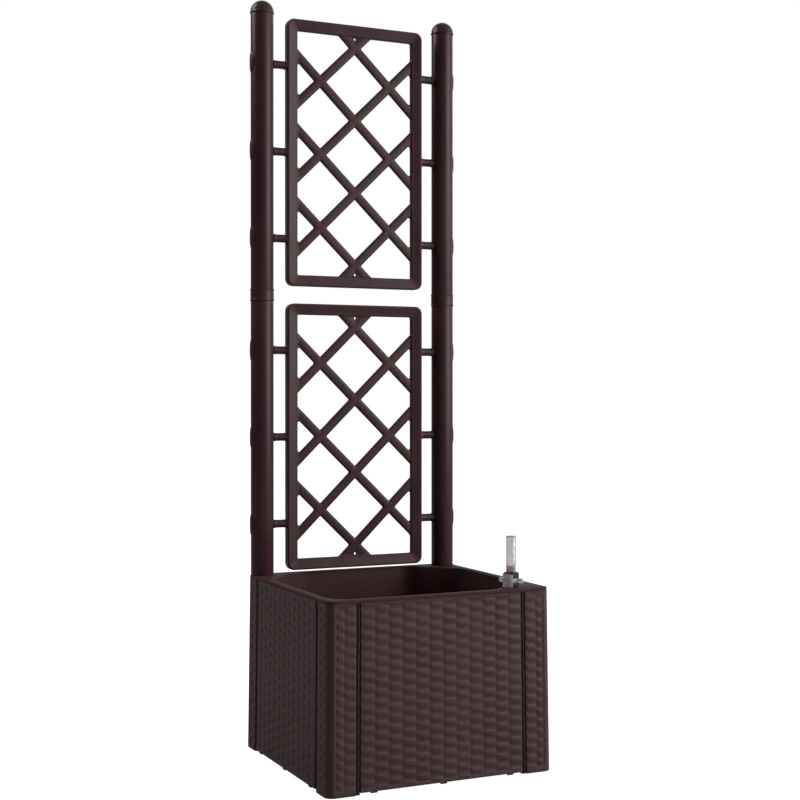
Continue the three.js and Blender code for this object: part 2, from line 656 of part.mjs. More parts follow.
// The wing ring's guard stands in front of the black head and the collar ring
const guardInner = GAUGE_HEAD_RADIUS + CLEARANCE;
const guardOuter = guardInner + GUARD_WALL;
const guardSector = (inner) => [
  ...arc(0, 0, guardOuter, GUARD_FROM - WING_TURN, GUARD_TO - WING_TURN, 8),
  ...arc(0, 0, inner, GUARD_TO - WING_TURN, GUARD_FROM - WING_TURN, 8),
];
const wingRing = cut(
  join(
    rod(GAUGE_HEAD_RADIUS - 0.3, wingLow, wingTop, 16),
    wing(-1),
    wing(1),
    prism(guardSector(guardInner), POST_FOOT, collarTop - 3),
    prism(guardSector(GAUGE_HEAD_RADIUS - 2), wingLow + 1, wingTop - 1),
  ),
  rod(tubeBore, wingLow - 5, wingTop + 5, 16),
);
const tubeTop = BOX_HEIGHT + GAUGE_TUBE_TOP;
const gaugeTube = turned(
  [
    [tubeBore, flangeLow],
    [GAUGE_TUBE_RADIUS + 2.6, flangeLow],
    [GAUGE_TUBE_RADIUS + 2.6, flangeTop],
    [GAUGE_TUBE_RADIUS, flangeTop],
    [GAUGE_TUBE_RADIUS, tubeTop - 1],
    [GAUGE_TUBE_RADIUS - 1, tubeTop],
    [0, tubeTop],
    [0, tubeTop - 2],
    [tubeBore - 1, tubeTop - 2],
    [tubeBore, tubeTop - 3],
    [tubeBore, flangeLow],
  ],
  16,
);
const collarRing = turned(
  [
    [GAUGE_TUBE_RADIUS + 2.6 + CLEARANCE, flangeLow],
    [GAUGE_HEAD_RADIUS, flangeLow],
    [GAUGE_HEAD_RADIUS, collarTop - 2],
    [GAUGE_HEAD_RADIUS - 2, collarTop],
    [GAUGE_TUBE_RADIUS + CLEARANCE, collarTop],
    [GAUGE_TUBE_RADIUS + CLEARANCE, flangeTop + CLEARANCE],
    [GAUGE_TUBE_RADIUS + 2.6 + CLEARANCE, flangeTop + CLEARANCE],
    [GAUGE_TUBE_RADIUS + 2.6 + CLEARANCE, flangeLow],
  ],
  16,
);
const floatLow = wellLow + 2 + CLEARANCE;
const tipLow = BOX_HEIGHT + 17;
const gaugeFloat = turned(
  [
    [0, floatLow],
    [FLOAT_RADIUS, floatLow],
    [FLOAT_RADIUS, floatLow + 44],
    [2, floatLow + 48],
    [2, tipLow],
    [FLOAT_TIP_RADIUS - 1.4, tipLow + 6],
    [FLOAT_TIP_RADIUS, tipLow + 16],
    [FLOAT_TIP_RADIUS, tipLow + 20],
    [FLOAT_TIP_RADIUS - 1, tipLow + 21],
    [0, tipLow + 21],
  ],
  16,
);

// Finishes
const finish = (name, color, roughness, extra = {}) =>
  new THREE.MeshStandardMaterial({ name, color, roughness, metalness: 0, ...extra });
const wovenPlastic = finish("woven_plastic", 0x473a3a, 0.5);
const cornerPlastic = finish("corner_plastic", 0x41353a, 0.48);
const linerPlastic = finish("liner_plastic", 0x433837, 0.45);
const trayPlastic = finish("tray_plastic", 0x2c2526, 0.6);
const postPlastic = finish("post_plastic", 0x443a3d, 0.35);
const latticePlastic = finish("lattice_plastic", 0x4a3f42, 0.4);
const gaugeBlack = finish("gauge_black", 0x1b1718, 0.4);
const gaugeGrey = finish("gauge_grey", 0xa9a5a4, 0.3, { transparent: true, opacity: 0.85 });
const gaugeClear = finish("gauge_clear", 0xd4d2d2, 0.1, { transparent: true, opacity: 0.4 });
const floatRed = finish("float_red", 0xb8605c, 0.45);

function piece(name, shape, material, parent) {
  const geometry = shape.isBufferGeometry ? shape : geometryOf(shape);
  const mesh = new THREE.Mesh(geometry, material);
  mesh.name = name;
  parent.add(mesh);
  return mesh;
}

const planter = new THREE.Group();
planter.name = "planter_with_trellis";

// The corner pieces and four equal walls, turned about the upright axis
const boxGroup = new THREE.Group();
planter.add(boxGroup);
const frontCornerGeometry = geometryOf(frontCorner);
const backCornerGeometry = geometryOf(backCorner);
const wallGeometry = geometryOf(wallPanel);
const quarterTurns = [
  ["front_left", "front", 0],
  ["front_right", "right", 1],
  ["back_right", "back", 2],
  ["back_left", "left", 3],
];
for (const [cornerName, wallName, turns] of quarterTurns) {
  const cornerGeometry = turns < 2 ? frontCornerGeometry : backCornerGeometry;
  const corner = piece(`corner_${cornerName}`, cornerGeometry, cornerPlastic, boxGroup);
  corner.rotation.z = (turns * Math.PI) / 2;
  const wall = piece(`${wallName}_wall`, wallGeometry, wovenPlastic, boxGroup);
  wall.rotation.z = (turns * Math.PI) / 2;
}

piece("soil_liner", soilLiner, linerPlastic, planter);
piece("reservoir_tray", reservoirTray, trayPlastic, planter);
const wickGeometry = geometryOf(wickCup);
for (const [across, side] of [["left", -1], ["right", 1]]) {
  for (const [along, end] of [["front", -1], ["back", 1]]) {
    const cup = piece(`wick_cup_${along}_${across}`, wickGeometry, trayPlastic, planter);
    cup.position.set(side * wickPlace, end * wickPlace, 0);
  }
}

// The two posts, each in its own group on the post's axis
const lowerPostGeometry = geometryOf(lowerPost);
const upperPostGeometry = geometryOf(upperPost);
const pegGeometry = geometryOf(peg);
for (const [across, side] of [["left", -1], ["right", 1]]) {
  const post = new THREE.Group();
  post.position.set(side * POST_AXIS, POST_AXIS, 0);
  planter.add(post);
  piece(`post_socket_${across}`, postSpigot, postPlastic, post);
  piece(`post_lower_${across}`, lowerPostGeometry, postPlastic, post);
  piece(`post_coupling_${across}`, coupling, postPlastic, post);
  piece(`post_upper_${across}`, upperPostGeometry, postPlastic, post);
  piece(`post_cap_${across}`, postCap, postPlastic, post);
  for (const [level, panelZ] of [["lower", LOWER_PANEL_Z], ["upper", UPPER_PANEL_Z]]) {
    pegSteps.forEach((dz, i) => {
      const pin = piece(`peg_${level}_${across}_${i + 1}`, pegGeometry, latticePlastic, post);
      pin.position.z = panelZ + dz;
      pin.rotation.z = side > 0 ? 0 : Math.PI;
    });
  }
}

const latticeGeometry = geometryOf(lattice);
for (const [level, panelZ] of [["lower", LOWER_PANEL_Z], ["upper", UPPER_PANEL_Z]]) {
  const panel = piece(`trellis_${level}`, latticeGeometry, latticePlastic, planter);
  panel.position.set(0, POST_AXIS, panelZ);
}

const gauge = new THREE.Group();
gauge.position.set(GAUGE_X, GAUGE_Y, 0);
planter.add(gauge);
piece("gauge_well", gaugeWell, gaugeBlack, gauge);
const wings = piece("gauge_wing_ring", wingRing, gaugeGrey, gauge);
wings.rotation.z = THREE.MathUtils.degToRad(WING_TURN);
piece("gauge_collar_ring", collarRing, gaugeBlack, gauge);
piece("gauge_tube", gaugeTube, gaugeClear, gauge);
piece("gauge_float", gaugeFloat, floatRed, gauge);

export default planter;
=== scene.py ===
import math

import bmesh
import bpy
from mathutils import Matrix, Vector


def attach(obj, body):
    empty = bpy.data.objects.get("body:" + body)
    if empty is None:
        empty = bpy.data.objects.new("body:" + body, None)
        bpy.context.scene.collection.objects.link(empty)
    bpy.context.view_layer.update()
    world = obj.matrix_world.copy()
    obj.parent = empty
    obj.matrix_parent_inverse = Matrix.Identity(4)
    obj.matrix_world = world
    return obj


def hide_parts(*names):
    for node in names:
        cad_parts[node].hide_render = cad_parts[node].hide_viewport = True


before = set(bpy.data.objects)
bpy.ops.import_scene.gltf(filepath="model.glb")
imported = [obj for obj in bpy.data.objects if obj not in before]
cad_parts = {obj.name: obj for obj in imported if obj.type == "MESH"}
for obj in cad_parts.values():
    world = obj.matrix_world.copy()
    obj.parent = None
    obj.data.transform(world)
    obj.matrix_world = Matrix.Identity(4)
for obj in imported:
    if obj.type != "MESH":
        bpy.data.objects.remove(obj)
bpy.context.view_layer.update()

MM = 0.001

# ---------------------------------------------------------------- sizes, in millimetres
GAP = 0.3  # between pieces that touch

# box
HALF = 215.0  # half of the box's width at the floor
TAPER = 0.016  # share of its width that the box loses up to the rim
TOP_HALF = HALF * (1 - TAPER)
RIM_Z = 328.0
RIM_BAND = 5.6
BODY_TOP = RIM_Z - RIM_BAND - GAP
EDGE_RADIUS = 16.0

# corner pieces and walls, as distances from the box's upright edge and depths under its face
CORNER_LEG = 51.5
CORNER_WALL = 3.2
GROOVE_DEPTH = 3.8
GROOVE_END = 60.35
RIB_AT = 55.4
RIB_WIDTH = 1.2
RIB_DROP = 1.5
WALL_START = GROOVE_END + GAP
WALL_THICKNESS = 3.0
TONGUE_END = 49.8
TONGUE_FRONT = 5.0
TONGUE_BACK = 7.5
SLEEVE_END = 47.1
SLEEVE_BACK = 10.0
FOOT_DROP = 4.0  # how far the corner pieces reach below the walls
FOOT_THICKNESS = 4.0
FOOT_INSET = 1.6
FOOT_END = 47.0
TAB_STEP = 130.0
TAB_HALF = 6.0
TAB_DROP = 2.5

# weave
COLUMNS = 12
NARROW_COLUMN = 14.4  # beside the round edge of a corner piece
ROW_PITCH = 17.8
ROW_STEP = ROW_PITCH / 10
STRAND_HEIGHT = 12.0
STRAND_REACH = 0.96  # a strand's half width, as a share of half a column
STRAND_END = 0.3  # its height where it dips behind, as a share of the relief
STAKE_REACH = 0.75
UNDER_HEIGHT = 0.26  # height of the stakes and of what passes behind, as a share of the relief
RELIEF = 1.7
PLAIN_LOW = 4.5  # plain strips along the lower and the upper edge
PLAIN_HIGH = 3.0
PLAIN_DEPTH = 0.12
WEAVE_RISE = 3.0

# soil liner
RIM_WIDTH = 16.5
PLATE_LEG = 84.0  # no plate at the front left corner
POT_WALL = 2.5
POT_ROUND = 35.0
POT_BOTTOM = 60.0
POT_FLOOR = 63.0
POT_DRAFT = 0.078
CUP_AT = 105.35
CUP_HOLE = 20.4
DRAIN_AT = 42.1
DRAIN_HOLE = 4.0

# posts
TOTAL_HEIGHT = 1422.0
POST_RADIUS = 21.7
POST_BORE = POST_RADIUS - 2.1
POST_AXIS = TOP_HALF - POST_RADIUS + 0.25
SPIGOT_RADIUS = POST_BORE - GAP
SOCKET_RADIUS = 17.9
SOCKET_BORE = 15.8
SOCKET_DEPTH = 121.0
SOCKET_FLOOR = 3.0
CAP_HEIGHT = 25.0
CAP_PLUG = 27.0
BRIM_HEIGHT = 3.5
BRIM_REACH = 1.2
CAP_Z = TOTAL_HEIGHT - CAP_HEIGHT
COUPLING_Z = RIM_Z + 0.488 * (CAP_Z - RIM_Z)
COUPLING_HEIGHT = 23.5
COUPLING_PLUG = 40.0
HEAD_HALF_WIDTH = 13.0
HEAD_HALF_HEIGHT = 20.0
HEAD_EDGE = 0.12
HEAD_CROWN = 1.645
SHANK_RADIUS = 4.0

# lattice panels
PANEL_WIDTH = 2 * (POST_AXIS - POST_RADIUS - 26.8)
PANEL_HEIGHT = (COUPLING_Z - GAP) - (RIM_Z + GAP) - 7.9
LOWER_PANEL_Z = (RIM_Z + COUPLING_Z) / 2 + 1.5
UPPER_PANEL_Z = (COUPLING_Z + COUPLING_HEIGHT + CAP_Z) / 2 + 2
PEG_STEP = 0.324 * PANEL_HEIGHT
BAR_WIDTH = 21.5
BAR_THICKNESS = 19.0
BAR_SLOPE = 3.5
PANEL_ROUND = 14.0
INNER_WIDTH = PANEL_WIDTH - 2 * BAR_WIDTH
INNER_HEIGHT = PANEL_HEIGHT - 2 * BAR_WIDTH
LATTICE_X = (PANEL_WIDTH + 6.4) / 4  # half a diamond's width
LATTICE_Z = (PANEL_HEIGHT - 15.6) / 7  # half a diamond's height
SLAT_WIDTH = 17.6
SLAT_EDGE = 3.5
SLAT_CROWN = 4.2
SLAT_TUCK = 7.0  # how far a slat runs into a frame bar
WEB_HALF = 3.4
GUSSET_THICKNESS = 6.6
HANG_HOLE_RADIUS = 2.9
HANG_HOLE_Z = PANEL_HEIGHT / 2 - 25.4
VOXEL = 1.25

# water gauge
GAUGE_X = HALF - 64
GAUGE_Y = 37 - HALF
GAUGE_BASE = RIM_Z + GAP
GAUGE_RADIUS = 14.0
GAUGE_BORE = 9.4
WELL_RADIUS = 10.9
WELL_BOTTOM = 12.0
WELL_FLOOR = 14.0
HEAD_HEIGHT = 7.7
WING_RING_Z = GAUGE_BASE + 8.0
WING_TURN = -56.0
WING_FROM = 11.5
WING_LENGTH = 24.0
# The curved milky walls at the gauge's front left are a painted highlight: pale sheets where the black head
# and collar would shine.
HIGHLIGHT_WALL_RADIUS = 15.4
HIGHLIGHT_WALL_FROM = -215 - WING_TURN
HIGHLIGHT_WALL_TO = -105 - WING_TURN
COLLAR_Z = GAUGE_BASE + 16.0
COLLAR_HEIGHT = 10.2
COLLAR_BORE = 12.0
TUBE_RADIUS = 9.1
TUBE_BORE = 7.7
TUBE_TOP = RIM_Z + 91.5
FLANGE_RADIUS = 11.7
FLANGE_HEIGHT = 2.4
FLOAT_RADIUS = 8.4
FLOAT_TOP = 57.8
FLOAT_ROD = 2.0
FLOAT_TIP_RADIUS = 7.1
FLOAT_TIP_Z = RIM_Z + 17

SMOOTH_ANGLE = 35


# ---------------------------------------------------------------- camera
def place_camera():
    lens = bpy.data.cameras.new("photo_camera")
    lens.sensor_width = 36
    lens.lens = 66.84
    lens.shift_x = -0.0875
    lens.shift_y = -0.00338
    lens.clip_start = 0.1
    lens.clip_end = 60
    camera = bpy.data.objects.new("photo_camera", lens)
    camera.location = (-1.10668, -2.51962, 0.67658)
    camera.rotation_euler = (math.radians(89.794), 0, math.radians(-26.652))
    bpy.context.scene.collection.objects.link(camera)
    bpy.context.scene.camera = camera


# ---------------------------------------------------------------- mesh making
def closed_mesh(name, points, faces):
    """Mesh in metres from points in millimetres, with doubled points merged and faces turned outward."""
    mesh = bpy.data.meshes.new(name)
    mesh.from_pydata([(x * MM, y * MM, z * MM) for x, y, z in points], [], faces)
    mesh.validate()
    build = bmesh.new()
    build.from_mesh(mesh)
    bmesh.ops.remove_doubles(build, verts=build.verts, dist=1e-6)
    bmesh.ops.recalc_face_normals(build, faces=build.faces)
    build.to_mesh(mesh)
    build.free()
    return mesh


def make_piece(name, points, faces, finish, body="planter", stands_for=(), smooth=SMOOTH_ANGLE):
    return add_piece(name, closed_mesh(name, points, faces), finish, body, stands_for, smooth)


def add_piece(name, mesh, finish, body="planter", stands_for=(), smooth=SMOOTH_ANGLE):
    piece = bpy.data.objects.new(name, mesh)
    bpy.context.scene.collection.objects.link(piece)
    mesh.materials.clear()
    mesh.materials.append(finish)
    shade(mesh, smooth)
    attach(piece, body)
    if stands_for:
        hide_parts(*stands_for)
    return piece


def shade(mesh, angle):
    """Smooth shading, with a hard edge wherever two faces turn by more than the angle."""
    for face in mesh.polygons:
        face.use_smooth = True
    build = bmesh.new()
    build.from_mesh(mesh)
    limit = math.radians(angle)
    for edge in build.edges:
        edge.smooth = len(edge.link_faces) == 2 and edge.calc_face_angle(0) < limit
    build.to_mesh(mesh)
    build.free()


def keep_result(piece):
    """Writes the piece's modifiers into its mesh."""
    graph = bpy.context.evaluated_depsgraph_get()
    made = bpy.data.meshes.new_from_object(piece.evaluated_get(graph))
    piece.modifiers.clear()
    piece.data = made


def cut_round(piece, drills, lying=False, solver="EXACT"):
    """Cuts round holes. A drill is x, y, radius, low and high, and a lying one runs from front to back."""
    parts = []
    for x, y, radius, low, high in drills:
        parts.append(turned([(0, low), (radius, low), (radius, high), (0, high)], 40, x, y))
    points, faces = merged(*parts)
    if lying:
        points = [(x, z, y) for x, y, z in points]
    cutter = bpy.data.objects.new("drills", closed_mesh("drills", points, faces))
    bpy.context.scene.collection.objects.link(cutter)
    change = piece.modifiers.new("holes", "BOOLEAN")
    change.operation = "DIFFERENCE"
    change.solver = solver
    change.object = cutter
    keep_result(piece)
    bpy.data.objects.remove(cutter)


# ---------------------------------------------------------------- shapes, as points and faces
def loft(loops, close_ends=True, ring=False):
    """Faces between loops of the same length; ring joins the last loop to the first."""
    count = len(loops[0])
    points = [p for loop in loops for p in loop]
    faces = []
    last = len(loops) if ring else len(loops) - 1
    for i in range(last):
        a = i * count
        b = ((i + 1) % len(loops)) * count
        for j in range(count):
            k = (j + 1) % count
            faces.append((a + j, a + k, b + k, b + j))
    if close_ends and not ring:
        faces.append(tuple(reversed(range(count))))
        faces.append(tuple(range((len(loops) - 1) * count, len(loops) * count)))
    return points, faces


def dish(loops):
    """Faces between loops of the same length, with a face over the last one only."""
    points, faces = loft(loops, close_ends=False)
    count = len(loops[0])
    faces.append(tuple(range((len(loops) - 1) * count, len(loops) * count)))
    return points, faces


def turned(profile, steps=64, x=0.0, y=0.0):
    """A turned piece from radius and height pairs: from axis to axis, or a closed ring."""
    ring = profile[0][0] > 0
    loops = []
    for radius, height in profile:
        r = max(radius, 1e-4)
        loop = []
        for j in range(steps):
            a = 2 * math.pi * j / steps
            loop.append((x + r * math.cos(a), y + r * math.sin(a), height))
        loops.append(loop)
    return loft(loops, close_ends=not ring, ring=ring)


def merged(*parts):
    """Several parts as one, each given as its points and faces."""
    points, faces = [], []
    for some_points, some_faces in parts:
        shift = len(points)
        points += some_points
        faces += [tuple(i + shift for i in face) for face in some_faces]
    return points, faces


def shifted(points, x, y, z=0.0):
    return [(px + x, py + y, pz + z) for px, py, pz in points]


def quarter(points, turns):
    """Points turned about the upright axis by quarter turns."""
    c = [1, 0, -1, 0][turns]
    s = [0, 1, 0, -1][turns]
    return [(x * c - y * s, x * s + y * c, z) for x, y, z in points]


def arc(x, y, radius, start, end, steps):
    """Points of an arc about x and y, from one angle to another in degrees."""
    out = []
    for i in range(steps + 1):
        a = math.radians(start + (end - start) * i / steps)
        out.append((x + radius * math.cos(a), y + radius * math.sin(a)))
    return out


def rounded_rectangle(half_x, half_y, radius, steps):
    """Outline with four round corners, anticlockwise."""
    x, y = half_x - radius, half_y - radius
    out = []
    for k, middle in enumerate([(x, -y), (x, y), (-x, y), (-x, -y)]):
        out += arc(*middle, radius, 90 * (k - 1), 90 * k, steps)
    return out


def rounded_corner(profile, index, radius, steps=3):
    """The points that replace one corner of a profile by a small curve."""
    before, corner, after = [Vector(profile[i % len(profile)]) for i in (index - 1, index, index + 1)]
    start = corner + (before - corner).normalized() * radius
    end = corner + (after - corner).normalized() * radius
    out = []
    for i in range(steps + 1):
        t = i / steps
        point = start * (1 - t) ** 2 + corner * 2 * t * (1 - t) + end * t * t
        out.append((point.x, point.y))
    return out


def softened(profile, radii):
    """The profile with the listed corners rounded: {index: radius}."""
    out = []
    for i, point in enumerate(profile):
        if i in radii:
            out += rounded_corner(profile, i, radii[i])
        else:
            out.append(point)
    return out


def rows(low, high, step):
    """Even heights from low to high, about a step apart."""
    count = max(2, round((high - low) / step))
    return [low + (high - low) * i / count for i in range(count + 1)]


# ---------------------------------------------------------------- shader nodes
def feed(links, socket, source):
    """Links an output to a socket, or sets the socket where the source is a plain value."""
    if isinstance(source, bpy.types.NodeSocket):
        links.new(source, socket)
    else:
        socket.default_value = source


def noise(nodes, links, place, scale, detail, roughness=0.5):
    node = nodes.new("ShaderNodeTexNoise")
    feed(links, node.inputs["Vector"], place)
    feed(links, node.inputs["Scale"], scale)
    node.inputs["Detail"].default_value = detail
    node.inputs["Roughness"].default_value = roughness
    return node.outputs["Fac"]


def spread(nodes, links, value, low, high, to_low=0.0, to_high=1.0, smooth=False):
    """The value's range from low to high, spread from to_low to to_high."""
    node = nodes.new("ShaderNodeMapRange")
    node.interpolation_type = "SMOOTHSTEP" if smooth else "LINEAR"
    feed(links, node.inputs["Value"], value)
    feed(links, node.inputs["From Min"], low)
    feed(links, node.inputs["From Max"], high)
    feed(links, node.inputs["To Min"], to_low)
    feed(links, node.inputs["To Max"], to_high)
    return node.outputs["Result"]


def mixed(nodes, links, factor, a, b, kind="FLOAT", blend="MIX"):
    node = nodes.new("ShaderNodeMix")
    node.data_type = kind
    node.blend_type = blend
    feed(links, node.inputs["Factor"], factor)
    feed(links, node.inputs["A"], a)
    feed(links, node.inputs["B"], b)
    return node.outputs["Result"]


def worked_out(nodes, links, operation, a, b, clamp=False):
    node = nodes.new("ShaderNodeMath")
    node.operation = operation
    node.use_clamp = clamp
    feed(links, node.inputs[0], a)
    feed(links, node.inputs[1], b)
    return node.outputs["Value"]


def upward(nodes, links, vector):
    """The upright part of a vector."""
    split = nodes.new("ShaderNodeSeparateXYZ")
    links.new(vector, split.inputs["Vector"])
    return split.outputs["Z"]


def group_socket(group, name, kind, out=False, value=None):
    """Gives a node group a named input or output."""
    side = "OUTPUT" if out else "INPUT"
    socket = group.interface.new_socket(name=name, in_out=side, socket_type="NodeSocket" + kind)
    if value is not None:
        socket.default_value = value


# ---------------------------------------------------------------- finishes
def moulded_grain_group():
    """Colour, roughness and height of a moulded plastic surface, from soft clouds and a fine grain."""
    group = bpy.data.node_groups.new("moulded grain", "ShaderNodeTree")
    group_socket(group, "Place", "Vector")
    group_socket(group, "Colour", "Color", value=(0.07, 0.055, 0.055, 1))
    group_socket(group, "Pale colour", "Color", value=(0.1, 0.08, 0.08, 1))
    group_socket(group, "Cloud scale", "Float", value=9.0)
    group_socket(group, "Grain scale", "Float", value=900.0)
    group_socket(group, "Roughness low", "Float", value=0.35)
    group_socket(group, "Roughness high", "Float", value=0.5)
    group_socket(group, "Colour", "Color", out=True)
    group_socket(group, "Roughness", "Float", out=True)
    group_socket(group, "Height", "Float", out=True)
    nodes, links = group.nodes, group.links
    start = nodes.new("NodeGroupInput").outputs
    end = nodes.new("NodeGroupOutput").inputs
    clouds = noise(nodes, links, start["Place"], start["Cloud scale"], detail=4, roughness=0.6)
    grain = noise(nodes, links, start["Place"], start["Grain scale"], detail=2)
    paleness = spread(nodes, links, clouds, 0.32, 0.72, smooth=True)
    colour = mixed(nodes, links, paleness, start["Colour"], start["Pale colour"], "RGBA")
    speck = spread(nodes, links, grain, 0.3, 0.7, 0.93, 1.07)
    tint = mixed(nodes, links, 1, colour, speck, "RGBA", "MULTIPLY")
    gloss = spread(nodes, links, clouds, 0.3, 0.75, start["Roughness low"], start["Roughness high"])
    links.new(tint, end["Colour"])
    links.new(gloss, end["Roughness"])
    links.new(grain, end["Height"])
    return group


def settled_dust_group():
    """A mask of the pale dust that lies in patches where a surface faces up."""
    group = bpy.data.node_groups.new("settled dust", "ShaderNodeTree")
    group_socket(group, "Place", "Vector")
    group_socket(group, "Normal", "Vector")
    group_socket(group, "Amount", "Float", value=0.2)
    group_socket(group, "Mask", "Float", out=True)
    nodes, links = group.nodes, group.links
    start = nodes.new("NodeGroupInput").outputs
    end = nodes.new("NodeGroupOutput").inputs
    facing_up = spread(nodes, links, upward(nodes, links, start["Normal"]), 0.35, 1.0)
    patches = noise(nodes, links, start["Place"], 55, detail=5)
    lying = worked_out(nodes, links, "MULTIPLY", facing_up, patches)
    mask = worked_out(nodes, links, "MULTIPLY", lying, start["Amount"], clamp=True)
    links.new(mask, end["Mask"])
    return group


grain_group = moulded_grain_group()
dust_group = settled_dust_group()
dust_colour = (0.16, 0.14, 0.13)
grain_height = 0.0004


def new_finish(name):
    finish = bpy.data.materials.new(name)
    finish.use_nodes = True
    nodes, links = finish.node_tree.nodes, finish.node_tree.links
    return finish, nodes, links, nodes["Principled BSDF"]


def grained(nodes, links, place, colour, pale, rough, cloud, grain):
    """The outputs of the moulded grain, placed in a material with its own values."""
    surface = nodes.new("ShaderNodeGroup")
    surface.node_tree = grain_group
    surface.inputs["Colour"].default_value = (*colour, 1)
    surface.inputs["Pale colour"].default_value = (*pale, 1)
    surface.inputs["Cloud scale"].default_value = cloud
    surface.inputs["Grain scale"].default_value = grain
    surface.inputs["Roughness low"].default_value = rough[0]
    surface.inputs["Roughness high"].default_value = rough[1]
    links.new(place, surface.inputs["Place"])
    return surface.outputs


def dusted(nodes, links, place, colour, amount):
    """The colour with some settled dust over it."""
    around = nodes.new("ShaderNodeNewGeometry")
    settled = nodes.new("ShaderNodeGroup")
    settled.node_tree = dust_group
    settled.inputs["Amount"].default_value = amount
    links.new(place, settled.inputs["Place"])
    links.new(around.outputs["Normal"], settled.inputs["Normal"])
    return mixed(nodes, links, settled.outputs["Mask"], colour, (*dust_colour, 1), "RGBA")


def plastic(name, colour, pale, rough, cloud, grain, bump, dust=0.0, specular=0.5):
    """Moulded plastic between two colours and two roughnesses."""
    finish, nodes, links, shader = new_finish(name)
    shader.inputs["Specular IOR Level"].default_value = specular
    place = nodes.new("ShaderNodeTexCoord").outputs["Object"]
    surface = grained(nodes, links, place, colour, pale, rough, cloud, grain)
    shown = dusted(nodes, links, place, surface["Colour"], dust) if dust else surface["Colour"]
    links.new(shown, shader.inputs["Base Color"])
    links.new(surface["Roughness"], shader.inputs["Roughness"])
    relief = nodes.new("ShaderNodeBump")
    relief.inputs["Strength"].default_value = bump
    relief.inputs["Distance"].default_value = grain_height
    links.new(surface["Height"], relief.inputs["Height"])
    links.new(relief.outputs["Normal"], shader.inputs["Normal"])
    return finish


def clear_plastic(name, colour, rough, through):
    """Smooth plastic that lets a share of the light through."""
    finish, nodes, links, shader = new_finish(name)
    shader.inputs["Transmission Weight"].default_value = through
    shader.inputs["IOR"].default_value = 1.46
    place = nodes.new("ShaderNodeTexCoord").outputs["Object"]
    pale = [c * 1.06 for c in colour]
    surface = grained(nodes, links, place, colour, pale, (rough, rough + 0.08), cloud=30, grain=700)
    links.new(surface["Colour"], shader.inputs["Base Color"])
    links.new(surface["Roughness"], shader.inputs["Roughness"])
    return finish


brown = (0.036, 0.0145, 0.0155)
brown_pale = (0.046, 0.021, 0.0225)
post_brown = (0.035, 0.014, 0.0175)
woven_look = dict(rough=(0.54, 0.66), cloud=14, grain=700, bump=0.2, dust=0.06, specular=0.25)
woven_finish = plastic("woven_wall_plastic", brown, brown_pale, **woven_look)
corner_finish = plastic("corner_plastic", brown, brown_pale, **woven_look)
liner_finish = plastic(
    "liner_plastic", brown, brown_pale,
    rough=(0.6, 0.72), cloud=8, grain=800, bump=0.12, specular=0.08,
)
tray_finish = plastic(
    "tray_plastic", (0.02, 0.011, 0.011), (0.03, 0.018, 0.018),
    rough=(0.5, 0.62), cloud=10, grain=600, bump=0.15,
)
post_finish = plastic(
    "post_plastic", post_brown, brown_pale,
    rough=(0.26, 0.38), cloud=7, grain=1200, bump=0.06, specular=0.12,
)
lattice_finish = plastic(
    "lattice_plastic", post_brown, brown_pale,
    rough=(0.32, 0.44), cloud=12, grain=1000, bump=0.08, dust=0.02, specular=0.12,
)
black_finish = plastic(
    "gauge_black_plastic", (0.006, 0.005, 0.005), (0.01, 0.009, 0.009),
    rough=(0.36, 0.46), cloud=30, grain=900, bump=0.08, specular=0.25,
)
float_finish = plastic(
    "float_red_plastic", (0.6, 0.36, 0.39), (0.68, 0.45, 0.48),
    rough=(0.3, 0.4), cloud=40, grain=900, bump=0.05,
)
milky_finish = clear_plastic("gauge_milky_plastic", (0.66, 0.62, 0.63), rough=0.22, through=0.6)
clear_finish = clear_plastic("gauge_clear_plastic", (0.6, 0.59, 0.6), rough=0.05, through=1.0)


# ---------------------------------------------------------------- the woven box
def strand(across, along, phase):
    """How high the weave stands, 0 to 1. across runs -1 to 1 over a column, along is the height in mm."""
    side = abs(across)
    half = STRAND_HEIGHT / 2
    turn = (along / ROW_PITCH + phase) % 1.0
    from_strand = min(turn, 1 - turn) * ROW_PITCH
    from_gap = abs(turn - 0.5) * ROW_PITCH
    over = 0.0
    if side < STRAND_REACH:
        edge = max(0.0, 1 - (from_strand / half) ** 2.8)
        crown = max(0.0, 1 - (side / STRAND_REACH) ** 3.2)
        over = (STRAND_END + (1 - STRAND_END) * crown ** 0.8) * edge ** 0.6
    bow = math.sqrt(max(0.0, 1 - (from_gap / half) ** 2))
    under = UNDER_HEIGHT * bow * min(1.0, 0.3 + 0.8 * side)
    stake = UNDER_HEIGHT * math.sqrt(max(0.0, 1 - (side / STAKE_REACH) ** 2))
    return max(over, under, stake)


def weave_depth(t, z, left, width, phase):
    """Depth of the surface under the outer face for a column from left, width wide."""
    across = 2 * (t - left) / width - 1
    inside = 1.0
    for distance in (z - FOOT_DROP - PLAIN_LOW, BODY_TOP - PLAIN_HIGH - z):
        inside *= min(1.0, max(0.0, distance / WEAVE_RISE))
    return RELIEF * (1 - strand(across, z, phase)) * inside + PLAIN_DEPTH * (1 - inside)


def woven_face(columns, z):
    """Distance and depth along neighbouring columns, given as left, width and steps, at one height."""
    face = []
    for number, (left, width, steps) in enumerate(columns):
        for i in range(steps + 1):
            t = left + width * i / steps
            depth = weave_depth(t, z, left, width, 0.5 * (number % 2))
            if i == 0 and face:
                # where two columns meet, the deeper one counts
                depth = max(depth, face.pop()[1])
            face.append((t, depth))
    return face


def box_loop(outline, z):
    """An outline at one height of the tapering box, from distances to its left and front faces."""
    share = 1 - TAPER * z / RIM_Z
    return [((u - HALF) * share, (v - HALF) * share, z) for u, v in outline]


